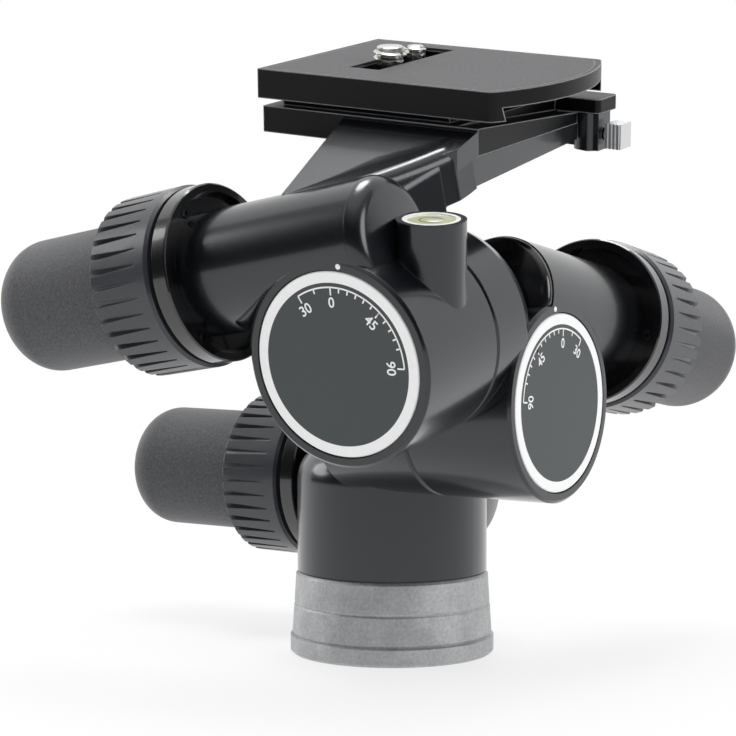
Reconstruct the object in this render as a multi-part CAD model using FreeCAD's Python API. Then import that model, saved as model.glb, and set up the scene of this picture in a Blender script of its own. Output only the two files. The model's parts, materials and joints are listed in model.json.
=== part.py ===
import FreeCAD, Part
import math
import os

# Three-way geared pan and tilt head, in millimetres.
# Origin: centre of the underside of the tripod base. +Z is up, the side-tilt dial faces -Y
# and the front-tilt dial faces +X. The head stands with both tilts a little off level.

V = FreeCAD.Vector
X_AXIS = V(1, 0, 0)
Y_AXIS = V(0, 1, 0)
Z_AXIS = V(0, 0, 1)
ORIGIN = V(0, 0, 0)

# ---------------------------------------------------------------- driving dimensions
BASE_R = 30.0
BASE_H = 24.0
PAN_R = 27.9
HOUSING_R = 27.6
TUBE_R = 17.0

# The two tilt axes with the head level, and how far each is tilted at rest.
FRONT_AXIS_Y = -16.2
FRONT_AXIS_Z = 77.2
FRONT_REST_DEG = 10.8
SIDE_AXIS_X = 38.6
SIDE_AXIS_Z = 103.1
SIDE_REST_DEG = 6.6

# Worm planes, and how far each worm tube droops towards its knob.
PAN_WORM_Z = 46.8
FRONT_WORM_X = 48.5
SIDE_WORM_Y = -64.9
FRONT_DROOP_DEG = 20.5
SIDE_DROOP_DEG = 16.5

# Worm gearing, the same in all three drives.
TEETH = 48
MODULE = 0.9
WORM_PITCH_R = 6.1
WHEEL_W = 7.0
TOOTH_HALF = MODULE * 2 / 3
FLANK_DEG = 20.0
ADDENDUM = MODULE * 8 / 9
DEDENDUM = MODULE * 11 / 9

# Running fits, radial.
SHAFT_FIT = 0.05
SLEEVE_FIT = 0.10
OPEN_GAP = 0.3

# Axles and what rides on them.
AXLE_R = 8.0
BUSH_WALL = 2.8
CHAMBER_R = 24.3
CHAMBER_HALF = 4.3
HUB_R = 12.5
HUB_HALF = 4.1
JOINT_BACK = 17.8
DIAL_FRONT = 16.9
BEARING_PLATE_T = 4.4
NUT_T = 3.7
NUT_AF = 24.0
DIAL_T = 2.5
DIAL_SPIGOT_R = 3.0
DIAL_R = 21.6
RING_R = 24.6

# Worm, release collar and knob, measured along the worm from the wheel's centre line.
WORM_SHAFT_R = 4.0
WORM_TURNS = 4
SLEEVE_R = 8.1
SLEEVE_START = 13.0
TUBE_BLIND = 9.0
BLIND_WALL = 2.5
BORE_START = -6.6
WORM_STUB_R = 2.5
STUB_BEARING_R = 4.4
CAP_GAP = 0.3
CAP_SIDE = 0.8
CAP_DOME = 4.0
CAP_ROUND = 2.0
FLANGE_R = 24.4
FLANGE_LIP = 38.4
FLANGE_LIP_W = 2.0
FLANGE_DISH = 2.6
FLANGE_T = 2.0
COLLAR_START = 44.5
COLLAR_END = 65.8
COLLAR_R = 25.1
COLLAR_END_R = 24.9
COLLAR_BORE_R = 20.3
COLLAR_WEB = 3.0
SPRING_ROOM = 6.0
GROOVES = 36
GROOVE_BAND = 4.2
GROOVE_SLOPE = 0.2
GROOVE_START_HALF = 0.25
GROOVE_START_DEPTH = 0.3
GROOVE_END_HALF = 0.55
GROOVE_END_DEPTH = 2.4
KNOB_R = 18.8
KNOB_END = 109.8
KNOB_ROUND = 10.5
GRIP_WALL = 3.0
GRIP_END_WALL = 7.0
SHAFT_END_WALL = 12.0
TILT_REACH = 3.2

# Tripod base and pan bearing.
TRIPOD_THREAD_R = 4.7625
FOOT_BAND_Z = 5.6
MIDDLE_BAND_Z = 14.5
WASHER_T = 0.4
SPINDLE_R = 7.0
SPINDLE_HEAD_R = 8.0

# Arm and platform, with the head level.
PLATFORM_LEFT = -25.5
PLATFORM_RIGHT = 45.0
PLATFORM_FRONT = -22.0
PLATFORM_BACK = 38.0
PLATFORM_Z = 147.6
PLATFORM_T = 7.5

# Camera plate.
PLATE_LEFT = -26.45
PLATE_FRONT = -23.2
PLATE_L = 76.0
PLATE_BOW = 8.7
PLATE_CORNER_R = 3.0
PLATE_W = 63.0
PLATE_TOP = 165.7
PLATE_H = 8.3
PLATE_WEB = 4.6
SKIRT_T = 3.3
PAD_T = 0.8
PAD_RIM = 1.6
SLOT_X = -0.5
LARGE_SCREW_R = 4.7625
SMALL_SCREW_R = 3.175
LARGE_SCREW_Y = 5.8
SMALL_SCREW_Y = 19.6
LARGE_SCREW_STAND = 4.6
SMALL_SCREW_STAND = 2.9

# Plate lock.
LEVER_X = 46.5
LEVER_Y = 39.5
LEVER_R = 4.6
LEVER_LOW = 139.8
LEVER_TIP_X = -8.0
LEVER_PIN_R = 2.5
EAR_LOW = 151.0
EAR_L = 15.6
EAR_HALF = 5.8
EAR_CORNER_R = 1.5
CATCH_STEM_R = 1.8
CATCH_HALF = 3.6
CATCH_L = 5.0
CATCH_RIBS = 4
CATCH_TRAVEL = 2.0
CATCH_Z = 144.4

# Spirit level.
VIAL_X = 53.5
VIAL_Y = -60.0
VIAL_TOP = 139.0
VIAL_BOSS_R = 9.2
VIAL_R = 6.4
VIAL_RING_R = 7.6

# ---------------------------------------------------------------- worked-out sizes
WHEEL_R = TEETH * MODULE / 2
WORM_OFFSET = WHEEL_R + WORM_PITCH_R
TOOTH_PITCH = math.pi * MODULE
LEAD_DEG = math.degrees(math.atan(TOOTH_PITCH / (2 * math.pi * WORM_PITCH_R)))
FLANK = math.tan(math.radians(FLANK_DEG))


# ---------------------------------------------------------------- small helpers
def cylinder(radius, start, end):
    """Cylinder about Z between two heights."""
    return Part.makeCylinder(radius, end - start, V(0, 0, start))


def box(x0, x1, y0, y1, z0, z1):
    """Box between the given sides."""
    return Part.makeBox(x1 - x0, y1 - y0, z1 - z0, V(x0, y0, z0))


def revolve(points):
    """Solid of revolution about Z from a closed outline of (radius, height) points."""
    corners = [V(r, 0, z) for r, z in points]
    outline = Part.makePolygon(corners + [corners[0]])
    return Part.Face(outline).revolve(ORIGIN, Z_AXIS, 360)


def extrude_outline(points, along):
    """Prism from a closed outline of 3-D points."""
    return Part.Face(Part.makePolygon(points + [points[0]])).extrude(along)


def wedge(near, far):
    """Solid between two outlines of as many points, whose facing sides are parallel."""
    count = len(near)
    faces = [Part.Face(Part.makePolygon(outline + [outline[0]])) for outline in (near, far)]
    for index in range(count):
        after = (index + 1) % count
        side = [near[index], near[after], far[after], far[index], near[index]]
        faces.append(Part.Face(Part.makePolygon(side)))
    return Part.makeSolid(Part.makeShell(faces))


def frame(origin, x_dir, z_dir):
    """Placement whose local X and Z axes lie along the two directions."""
    turn = FreeCAD.Rotation(x_dir, z_dir.cross(x_dir), z_dir, "ZXY")
    return FreeCAD.Placement(origin, turn)


def tilt(centre, axis, degrees):
    """Placement that turns about an axis through a point."""
    return FreeCAD.Placement(ORIGIN, FreeCAD.Rotation(axis, degrees), centre)


def placed(shape, placement):
    """Copy of a shape moved by a placement."""
    copy = shape.copy()
    copy.Placement = placement.multiply(copy.Placement)
    return copy


def fuse(*shapes):
    """One solid from several that overlap."""
    return shapes[0].multiFuse(list(shapes[1:])).removeSplitter()


# ---------------------------------------------------------------- frames
# A drive frame has its origin at the wheel's centre, Z along the axle towards the dial and X
# towards the worm. The hand is +1 where the worm runs out to its knob along -Y of that frame
# and -1 where it runs out along +Y.
def worm_frame(drive, hand):
    """Frame of the worm: Z out to the knob, X away from the wheel."""
    return drive.multiply(frame(V(WORM_OFFSET, 0, 0), X_AXIS, V(0, -hand, 0)))


FRONT_DROOP = math.radians(FRONT_DROOP_DEG)
SIDE_DROOP = math.radians(SIDE_DROOP_DEG)
PAN_HAND = -1
FRONT_HAND = 1
SIDE_HAND = -1

FRONT_REST = tilt(V(0, FRONT_AXIS_Y, FRONT_AXIS_Z), X_AXIS, FRONT_REST_DEG)
SIDE_REST = FRONT_REST.multiply(tilt(V(SIDE_AXIS_X, 0, SIDE_AXIS_Z), Y_AXIS, SIDE_REST_DEG))

PAN_DRIVE = frame(V(0, 0, PAN_WORM_Z), Y_AXIS, Z_AXIS)
FRONT_DRIVE = frame(
    V(FRONT_WORM_X, FRONT_AXIS_Y, FRONT_AXIS_Z),
    V(0, math.sin(FRONT_DROOP), math.cos(FRONT_DROOP)),
    X_AXIS,
)
SIDE_DRIVE = frame(
    V(SIDE_AXIS_X, SIDE_WORM_Y, SIDE_AXIS_Z),
    V(-math.sin(SIDE_DROOP), 0, math.cos(SIDE_DROOP)),
    V(0, -1, 0),
)
FRONT_JOINT_X = FRONT_WORM_X - JOINT_BACK
SIDE_JOINT_Y = SIDE_WORM_Y + JOINT_BACK


# ---------------------------------------------------------------- worm gearing
def worm_wheel():
    """Wheel about Z with slanted tooth gaps; one gap centre faces +X."""
    tip = WHEEL_R + ADDENDUM
    root = WHEEL_R - DEDENDUM
    gap_half = TOOTH_PITCH / 2 - TOOTH_HALF
    over = 0.6
    outer_half = gap_half + (tip + over - WHEEL_R) * FLANK
    root_half = gap_half - (WHEEL_R - root) * FLANK
    slant = math.tan(math.radians(LEAD_DEG)) * WHEEL_W
    low = -WHEEL_W / 2
    outline = [
        V(root, -root_half, low),
        V(tip + over, -outer_half, low),
        V(tip + over, outer_half, low),
        V(root, root_half, low),
    ]
    gap = extrude_outline(outline, V(0, slant, WHEEL_W))
    gap.translate(V(0, -slant / 2, 0))
    gaps = []
    for tooth in range(TEETH):
        cut = gap.copy()
        cut.rotate(ORIGIN, Z_AXIS, tooth * 360.0 / TEETH)
        gaps.append(cut)
    rim = cylinder(tip, -WHEEL_W / 2, WHEEL_W / 2)
    return rim.cut(Part.makeCompound(gaps))


def hubbed_wheel(bore_r):
    """Toothed wheel with its hub, bored for its axle."""
    wheel = worm_wheel()
    hub = cylinder(HUB_R, -HUB_HALF, HUB_HALF)
    return fuse(wheel, hub).cut(cylinder(bore_r, -HUB_HALF - 1, HUB_HALF + 1))


def worm_thread():
    """Right-hand thread about Z whose crests pass the wheel side midway between its gaps."""
    root_r = WORM_PITCH_R - DEDENDUM
    tip_r = WORM_PITCH_R + ADDENDUM
    sunk_r = root_r - 0.3
    start = -1.5 * TOOTH_PITCH
    base_half = TOOTH_HALF + (WORM_PITCH_R - sunk_r) * FLANK
    tip_half = TOOTH_HALF - ADDENDUM * FLANK
    profile = Part.makePolygon([
        V(sunk_r, 0, start - base_half),
        V(tip_r, 0, start - tip_half),
        V(tip_r, 0, start + tip_half),
        V(sunk_r, 0, start + base_half),
        V(sunk_r, 0, start - base_half),
    ])
    helix = Part.makeHelix(TOOTH_PITCH, WORM_TURNS * TOOTH_PITCH, WORM_PITCH_R)
    helix.translate(V(0, 0, start))
    return Part.Wire(helix.Edges).makePipeShell([profile], True, True)


def worm_shaft(reach):
    """Worm cut in one with its shaft, with a stub for the end cap."""
    root_r = WORM_PITCH_R - DEDENDUM
    low = -1.5 * TOOTH_PITCH - 1.4
    high = (WORM_TURNS - 1.5) * TOOTH_PITCH + 1.4
    core = revolve([
        (0, -TUBE_BLIND + 0.4),
        (WORM_STUB_R, -TUBE_BLIND + 0.4),
        (WORM_STUB_R, low),
        (root_r, low),
        (root_r, high),
        (WORM_SHAFT_R, high + 1),
        (WORM_SHAFT_R, KNOB_END + reach - SHAFT_END_WALL),
        (0, KNOB_END + reach - SHAFT_END_WALL),
    ])
    return core.fuse(worm_thread())


# ---------------------------------------------------------------- worm tube, collar and knob
def tube(reach):
    """Outside of the tube that the worm runs in."""
    return cylinder(TUBE_R, -TUBE_BLIND, FLANGE_LIP + FLANGE_DISH + reach)


def tube_bore(reach):
    """Room inside the tube for the worm and the release sleeve, with the stub bearing's seat."""
    bore = cylinder(SLEEVE_R + SLEEVE_FIT, BORE_START, FLANGE_LIP + FLANGE_DISH + reach + 1)
    return bore.fuse(cylinder(STUB_BEARING_R, -TUBE_BLIND, 0))


def housing_swell():
    """Round of the wheel housing, seen from the worm, that the end cap stops at."""
    wheel_round = cylinder(HOUSING_R + SHAFT_FIT, -60, 60)
    return placed(wheel_round, frame(V(-WORM_OFFSET, 0, 0), X_AXIS, Y_AXIS))


def cap_room():
    """Room on the tube's blind end for the domed cap, where the tube stands out of the housing."""
    return cylinder(TUBE_R, -TUBE_BLIND - 10, -TUBE_BLIND).cut(housing_swell())


def end_bearing():
    """Bush for the worm's stub at the blind end of a tube."""
    return revolve([
        (WORM_STUB_R + SHAFT_FIT, -TUBE_BLIND),
        (STUB_BEARING_R, -TUBE_BLIND),
        (STUB_BEARING_R, BORE_START - 0.2),
        (WORM_STUB_R + SHAFT_FIT, BORE_START - 0.2),
    ])


def end_cap():
    """Domed cap over the tube's blind end, trimmed to the housing, with the stub's bearing."""
    cap_r = TUBE_R - CAP_GAP
    shoulder = V(cap_r - CAP_ROUND, 0, -TUBE_BLIND - CAP_SIDE)
    dome_r = (shoulder.x ** 2 + CAP_DOME ** 2 - CAP_ROUND ** 2) / (2 * (CAP_DOME - CAP_ROUND))
    centre = V(0, 0, shoulder.z - CAP_DOME + dome_r)
    lean = (shoulder - centre).normalize()
    half_lean = (lean + X_AXIS).normalize()
    dome_lean = (lean - Z_AXIS).normalize()
    side = shoulder + X_AXIS * CAP_ROUND
    meet = centre + lean * dome_r
    top = centre - Z_AXIS * dome_r
    foot = V(0, 0, -TUBE_BLIND)
    outline = Part.Wire([
        Part.makeLine(foot, V(cap_r, 0, -TUBE_BLIND)),
        Part.makeLine(V(cap_r, 0, -TUBE_BLIND), side),
        Part.Arc(side, shoulder + half_lean * CAP_ROUND, meet).toShape(),
        Part.Arc(meet, centre + dome_lean * dome_r, top).toShape(),
        Part.makeLine(top, foot),
    ])
    body = Part.Face(outline).revolve(ORIGIN, Z_AXIS, 360).cut(housing_swell())
    stem = cylinder(STUB_BEARING_R, -TUBE_BLIND, BORE_START - 0.2)
    stub_hole = cylinder(WORM_STUB_R + SHAFT_FIT, -TUBE_BLIND, BORE_START)
    return fuse(body, stem).cut(stub_hole)


def flange(reach):
    """Dished flange on the end of the tube, with the lip towards the housing."""
    lip = FLANGE_LIP + reach
    web = lip + FLANGE_DISH
    face = web + FLANGE_T
    return revolve([
        (SLEEVE_R + SLEEVE_FIT, web),
        (FLANGE_R - FLANGE_LIP_W - 1.4, web),
        (FLANGE_R - FLANGE_LIP_W - 0.4, lip),
        (FLANGE_R - 0.4, lip),
        (FLANGE_R, lip + 0.4),
        (FLANGE_R, face),
        (SLEEVE_R + SLEEVE_FIT, face),
    ])


def collar_spring(reach):
    """Torsion spring of square wire that turns the release collar back."""
    half = 0.6
    coil_r = SLEEVE_R + 2.2
    start = FLANGE_LIP + FLANGE_DISH + FLANGE_T + reach + half + 0.05
    pitch = 1.55
    turns = 2.5
    helix = Part.makeHelix(pitch, turns * pitch, coil_r)
    helix.translate(V(0, 0, start))
    section = Part.makePolygon([
        V(coil_r - half, 0, start - half),
        V(coil_r + half, 0, start - half),
        V(coil_r + half, 0, start + half),
        V(coil_r - half, 0, start + half),
        V(coil_r - half, 0, start - half),
    ])
    return Part.Wire(helix.Edges).makePipeShell([section], True, True)


def release_sleeve(reach):
    """Sleeve that carries the worm shaft and turns with the collar."""
    end = COLLAR_START + SPRING_ROOM + COLLAR_WEB - 1.5 + reach
    bearing = 6.0
    journal = WORM_SHAFT_R + SHAFT_FIT
    relief = WORM_SHAFT_R + 1.5
    return revolve([
        (journal, SLEEVE_START),
        (SLEEVE_R, SLEEVE_START),
        (SLEEVE_R, end),
        (journal, end),
        (journal, end - bearing),
        (relief, end - bearing),
        (relief, SLEEVE_START + bearing),
        (journal, SLEEVE_START + bearing),
    ])


def groove_section(floor_half, floor_r, z):
    """Section of a collar groove at one height, open past the outside."""
    open_r = COLLAR_R + 1
    open_half = floor_half + (open_r - floor_r) * GROOVE_SLOPE
    return [
        V(floor_r, -floor_half, z),
        V(open_r, -open_half, z),
        V(open_r, open_half, z),
        V(floor_r, floor_half, z),
    ]


def collar(reach):
    """Release collar with grooves that deepen and widen towards the knob."""
    start = COLLAR_START + reach
    end = COLLAR_END + reach
    web = start + SPRING_ROOM - 1.5
    blank = revolve([
        (SLEEVE_R, web),
        (COLLAR_BORE_R, web),
        (COLLAR_BORE_R, start),
        (COLLAR_R - 0.8, start),
        (COLLAR_R, start + 0.8),
        (COLLAR_END_R, end - 1.5),
        (COLLAR_END_R - 1.5, end),
        (KNOB_R + 0.6, end),
        (KNOB_R + 0.6, end - 2.5),
        (COLLAR_BORE_R, end - 4),
        (COLLAR_BORE_R, web + COLLAR_WEB),
        (SLEEVE_R, web + COLLAR_WEB),
    ])
    groove = wedge(
        groove_section(GROOVE_START_HALF, COLLAR_R - GROOVE_START_DEPTH, start + GROOVE_BAND),
        groove_section(GROOVE_END_HALF, COLLAR_END_R - GROOVE_END_DEPTH, end + 0.01),
    )
    grooves = []
    for index in range(GROOVES):
        cut = groove.copy()
        cut.rotate(ORIGIN, Z_AXIS, index * 360.0 / GROOVES)
        grooves.append(cut)
    return blank.cut(Part.makeCompound(grooves))


def knob_core(reach):
    """Hub of the knob, pressed on the worm shaft."""
    disc = COLLAR_START + SPRING_ROOM + COLLAR_WEB + reach
    return revolve([
        (WORM_SHAFT_R, disc),
        (KNOB_R, disc),
        (KNOB_R, disc + 3),
        (KNOB_R - GRIP_WALL, disc + 3),
        (KNOB_R - GRIP_WALL, KNOB_END + reach - GRIP_END_WALL),
        (0, KNOB_END + reach - GRIP_END_WALL),
        (0, KNOB_END + reach - SHAFT_END_WALL),
        (WORM_SHAFT_R, KNOB_END + reach - SHAFT_END_WALL),
    ])


def knob_grip(reach):
    """Rubber sleeve with a rounded end, stretched over the hub."""
    start = COLLAR_START + SPRING_ROOM + COLLAR_WEB + reach + 3
    end = KNOB_END + reach
    body = cylinder(KNOB_R, start, end)
    rim = [edge for edge in body.Edges if abs(edge.BoundBox.ZMin - end) < 1e-6]
    rounded = body.makeFillet(KNOB_ROUND, rim)
    return rounded.cut(cylinder(KNOB_R - GRIP_WALL, start - 1, end - GRIP_END_WALL))


# ---------------------------------------------------------------- axle pieces
def hexagon_nut(across_flats, bore_r, start, end):
    """Hexagon nut about Z."""
    corner = across_flats / 2 / math.cos(math.pi / 6)
    points = [
        V(corner * math.cos(math.radians(60 * k)), corner * math.sin(math.radians(60 * k)), start)
        for k in range(6)
    ]
    return extrude_outline(points, V(0, 0, end - start)).cut(cylinder(bore_r, start - 1, end + 1))


PLATE_START = HUB_HALF + 0.5
PLATE_END = PLATE_START + BEARING_PLATE_T
NUT_START = PLATE_END + OPEN_GAP
NUT_END = NUT_START + NUT_T
DIAL_BACK = DIAL_FRONT - DIAL_T


def axle(buried, head_r, head_t):
    """Axle from its seat in one housing to the dial of the next."""
    back = -JOINT_BACK - buried
    points = [
        (0, back),
        (head_r, back),
        (head_r, back + head_t),
        (AXLE_R, back + head_t),
        (AXLE_R, NUT_END),
        (DIAL_SPIGOT_R, NUT_END),
        (DIAL_SPIGOT_R, DIAL_BACK + 1),
        (0, DIAL_BACK + 1),
    ]
    return revolve(points)


def axle_bush():
    """Flanged bush in the back wall of a tilting housing."""
    inner = AXLE_R + SHAFT_FIT
    outer = inner + BUSH_WALL
    return revolve([
        (inner, -JOINT_BACK + OPEN_GAP),
        (outer, -JOINT_BACK + OPEN_GAP),
        (outer, -CHAMBER_HALF),
        (inner, -CHAMBER_HALF),
    ])


def bearing_plate():
    """Plate in the open side of the housing, notched for the worm, for the axle's other end."""
    worm_room = placed(
        cylinder(SLEEVE_R + SLEEVE_FIT, -HOUSING_R, HOUSING_R),
        frame(V(WORM_OFFSET, 0, 0), X_AXIS, Y_AXIS),
    )
    plate = revolve([
        (AXLE_R + SHAFT_FIT, PLATE_START),
        (CHAMBER_R, PLATE_START),
        (CHAMBER_R, PLATE_END - 1.5),
        (HUB_R, PLATE_END - 1.5),
        (HUB_R, PLATE_END),
        (AXLE_R + SHAFT_FIT, PLATE_END),
    ])
    return plate.cut(worm_room)


def dial():
    """Scale disc on the end of the axle."""
    return revolve([
        (DIAL_SPIGOT_R, DIAL_BACK - 0.5),
        (6.0, DIAL_BACK - 0.5),
        (6.0, DIAL_BACK),
        (DIAL_R, DIAL_BACK),
        (DIAL_R, DIAL_FRONT),
        (0, DIAL_FRONT),
        (0, DIAL_BACK + 1),
        (DIAL_SPIGOT_R, DIAL_BACK + 1),
    ])


def dial_ring():
    """Pale ring round the scale disc."""
    return revolve([
        (DIAL_R, DIAL_BACK),
        (RING_R, DIAL_BACK),
        (RING_R, DIAL_FRONT - 0.3),
        (RING_R - 0.3, DIAL_FRONT),
        (DIAL_R, DIAL_FRONT),
    ])


def housing_blank():
    """Outside of a tilting housing, with its chamfered dial rim."""
    edge = 0.8
    return revolve([
        (0, -JOINT_BACK),
        (HOUSING_R - edge, -JOINT_BACK),
        (HOUSING_R, -JOINT_BACK + edge),
        (HOUSING_R, DIAL_FRONT - edge),
        (HOUSING_R - edge, DIAL_FRONT),
        (0, DIAL_FRONT),
    ])


def housing_cavity():
    """Bush seat, wheel chamber and dial recess of a tilting housing."""
    bush_r = AXLE_R + SHAFT_FIT + BUSH_WALL
    recess_r = RING_R + OPEN_GAP
    recess = DIAL_BACK - 0.5
    return revolve([
        (0, -JOINT_BACK - 1),
        (bush_r, -JOINT_BACK - 1),
        (bush_r, -CHAMBER_HALF),
        (CHAMBER_R, -CHAMBER_HALF),
        (CHAMBER_R, recess),
        (recess_r, recess),
        (recess_r, DIAL_FRONT + 1),
        (0, DIAL_FRONT + 1),
    ])


# ---------------------------------------------------------------- tripod base
PLUG_TOP = PAN_WORM_Z - CHAMBER_HALF - 2.5
SEAT_R = HUB_R - 3.0
CAVITY_R = 11.0
CAVITY_TOP = 21.0
BUSH_T = 12.0


def tripod_base():
    """Three-banded foot with the plug that the pan housing turns on."""
    plug_r = CHAMBER_R - SLEEVE_FIT
    groove = 0.5
    return revolve([
        (CAVITY_R, 0),
        (BASE_R - 0.8, 0),
        (BASE_R, 0.8),
        (BASE_R, FOOT_BAND_Z - groove),
        (BASE_R - 0.9, FOOT_BAND_Z),
        (BASE_R - 0.6, FOOT_BAND_Z + groove),
        (BASE_R - 1.1, MIDDLE_BAND_Z - groove),
        (BASE_R - 1.5, MIDDLE_BAND_Z),
        (BASE_R - 1.2, MIDDLE_BAND_Z + groove),
        (PAN_R + 0.4, BASE_H - 0.8),
        (PAN_R - 0.4, BASE_H),
        (plug_r, BASE_H),
        (plug_r, PLUG_TOP),
        (HUB_R, PLUG_TOP),
        (HUB_R, PAN_WORM_Z - HUB_HALF),
        (SEAT_R, PAN_WORM_Z - HUB_HALF),
        (SEAT_R, PAN_WORM_Z + HUB_HALF),
        (SPINDLE_R + SHAFT_FIT, PAN_WORM_Z + HUB_HALF),
        (SPINDLE_R + SHAFT_FIT, CAVITY_TOP),
        (CAVITY_R, CAVITY_TOP),
    ])


def tripod_thread_bush():
    """Steel bush with the tripod thread, screwed into the underside."""
    return revolve([
        (TRIPOD_THREAD_R, 0),
        (CAVITY_R, 0),
        (CAVITY_R, BUSH_T),
        (TRIPOD_THREAD_R, BUSH_T),
    ])


def pan_thrust_washer():
    """Thin washer between the base and the pan housing."""
    return revolve([
        (CHAMBER_R + 0.1, BASE_H),
        (PAN_R - 0.7, BASE_H),
        (PAN_R - 0.7, BASE_H + WASHER_T),
        (CHAMBER_R + 0.1, BASE_H + WASHER_T),
    ])


PAN_ROOF = PAN_WORM_Z + CHAMBER_HALF
SPINDLE_TOP = PAN_ROOF + 8.5
SPINDLE_NUT_TOP = CAVITY_TOP - 0.5
SPINDLE_NUT_T = 5.5


def pan_spindle():
    """Bolt that hangs from the pan housing and holds the base against it."""
    foot = SPINDLE_NUT_TOP - SPINDLE_NUT_T - 1.5
    return revolve([
        (0, foot),
        (SPINDLE_R, foot),
        (SPINDLE_R, PAN_ROOF),
        (SPINDLE_HEAD_R, PAN_ROOF),
        (SPINDLE_HEAD_R, SPINDLE_TOP),
        (0, SPINDLE_TOP),
    ])


def pan_spindle_nut():
    """Nut that sets the pan bearing's play."""
    return hexagon_nut(17.0, SPINDLE_R, SPINDLE_NUT_TOP - SPINDLE_NUT_T, SPINDLE_NUT_TOP)


# ---------------------------------------------------------------- castings
BOSS_LEFT = -2.0
PAN_DOME_TOP = 62.0
PAN_DOME_ROUND = 11.0
AXLE_HEAD_R = 11.0
AXLE_HEAD_T = 3.0


def along_x(shape, x, y, z):
    """Move a shape made about Z so that its axis lies along +X through a point."""
    return placed(shape, frame(V(x, y, z), Y_AXIS, X_AXIS))


def along_minus_y(shape, x, y, z):
    """Move a shape made about Z so that its axis lies along -Y through a point."""
    return placed(shape, frame(V(x, y, z), X_AXIS, V(0, -1, 0)))


def pan_housing():
    """Casting that turns on the base and carries the front tilt's axle."""
    bottom = BASE_H + WASHER_T
    column = cylinder(PAN_R, bottom, PAN_DOME_TOP)
    rim = [edge for edge in column.Edges if abs(edge.BoundBox.ZMin - PAN_DOME_TOP) < 1e-6]
    column = column.makeFillet(PAN_DOME_ROUND, rim)
    length = FRONT_JOINT_X - BOSS_LEFT
    boss = revolve([
        (0, 0),
        (HOUSING_R - 3, 0),
        (HOUSING_R, 3),
        (HOUSING_R, length - 0.8),
        (HOUSING_R - 0.8, length),
        (0, length),
    ])
    boss = along_x(boss, BOSS_LEFT, FRONT_AXIS_Y, FRONT_AXIS_Z)
    worm_tube = placed(tube(0), worm_frame(PAN_DRIVE, PAN_HAND))
    body = fuse(column, boss, worm_tube)
    chamber = fuse(
        cylinder(CHAMBER_R, bottom - 1, PAN_ROOF),
        cylinder(SPINDLE_HEAD_R, PAN_ROOF - 1, SPINDLE_TOP),
    )
    axle_bore = revolve([
        (0, -1),
        (AXLE_HEAD_R, -1),
        (AXLE_HEAD_R, AXLE_HEAD_T),
        (AXLE_R, AXLE_HEAD_T),
        (AXLE_R, length + 1),
        (0, length + 1),
    ])
    axle_bore = along_x(axle_bore, BOSS_LEFT, FRONT_AXIS_Y, FRONT_AXIS_Z)
    worm_bore = placed(tube_bore(0).fuse(cap_room()), worm_frame(PAN_DRIVE, PAN_HAND))
    return body.cut(chamber).cut(axle_bore).cut(worm_bore)


SIDE_BOSS_BACK = -26.0
SIDE_AXLE_BURIED = 15.0


def front_housing():
    """Casting of the front tilt, with the boss that carries the side tilt's axle."""
    blank = placed(housing_blank(), FRONT_DRIVE)
    worm_tube = placed(tube(TILT_REACH), worm_frame(FRONT_DRIVE, FRONT_HAND))
    length = SIDE_BOSS_BACK - SIDE_JOINT_Y
    boss = revolve([
        (0, 0),
        (HOUSING_R - 6, 0),
        (HOUSING_R - 1.5, 2),
        (HOUSING_R, 6),
        (HOUSING_R, length - 0.8),
        (HOUSING_R - 0.8, length),
        (0, length),
    ])
    boss = along_minus_y(boss, SIDE_AXIS_X, SIDE_BOSS_BACK, SIDE_AXIS_Z)
    swing_room = along_x(
        cylinder(HOUSING_R + 0.5, -60, 0), FRONT_JOINT_X, FRONT_AXIS_Y, FRONT_AXIS_Z
    )
    boss = boss.cut(swing_room)
    body = fuse(blank, boss, worm_tube)
    cavity = placed(housing_cavity(), FRONT_DRIVE)
    worm_bore = placed(tube_bore(TILT_REACH).fuse(cap_room()), worm_frame(FRONT_DRIVE, FRONT_HAND))
    axle_bore = along_minus_y(
        cylinder(AXLE_R, -SIDE_AXLE_BURIED, 1), SIDE_AXIS_X, SIDE_JOINT_Y, SIDE_AXIS_Z
    )
    return body.cut(cavity).cut(worm_bore).cut(axle_bore)


ARM_FRONT = -74.0
ARM_TOP_FRONT = 142.0
ARM_TOP_BACK = PLATFORM_Z + PLATFORM_T - 0.6
BEAM_BACK = LEVER_Y - LEVER_R - 0.5
BEAM_BACK_Z = 143.0
BEAM_FRONT_Y = -33.0
BEAM_FRONT_Z = 139.0
ARM_FOLD_R = 4.0


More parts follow.
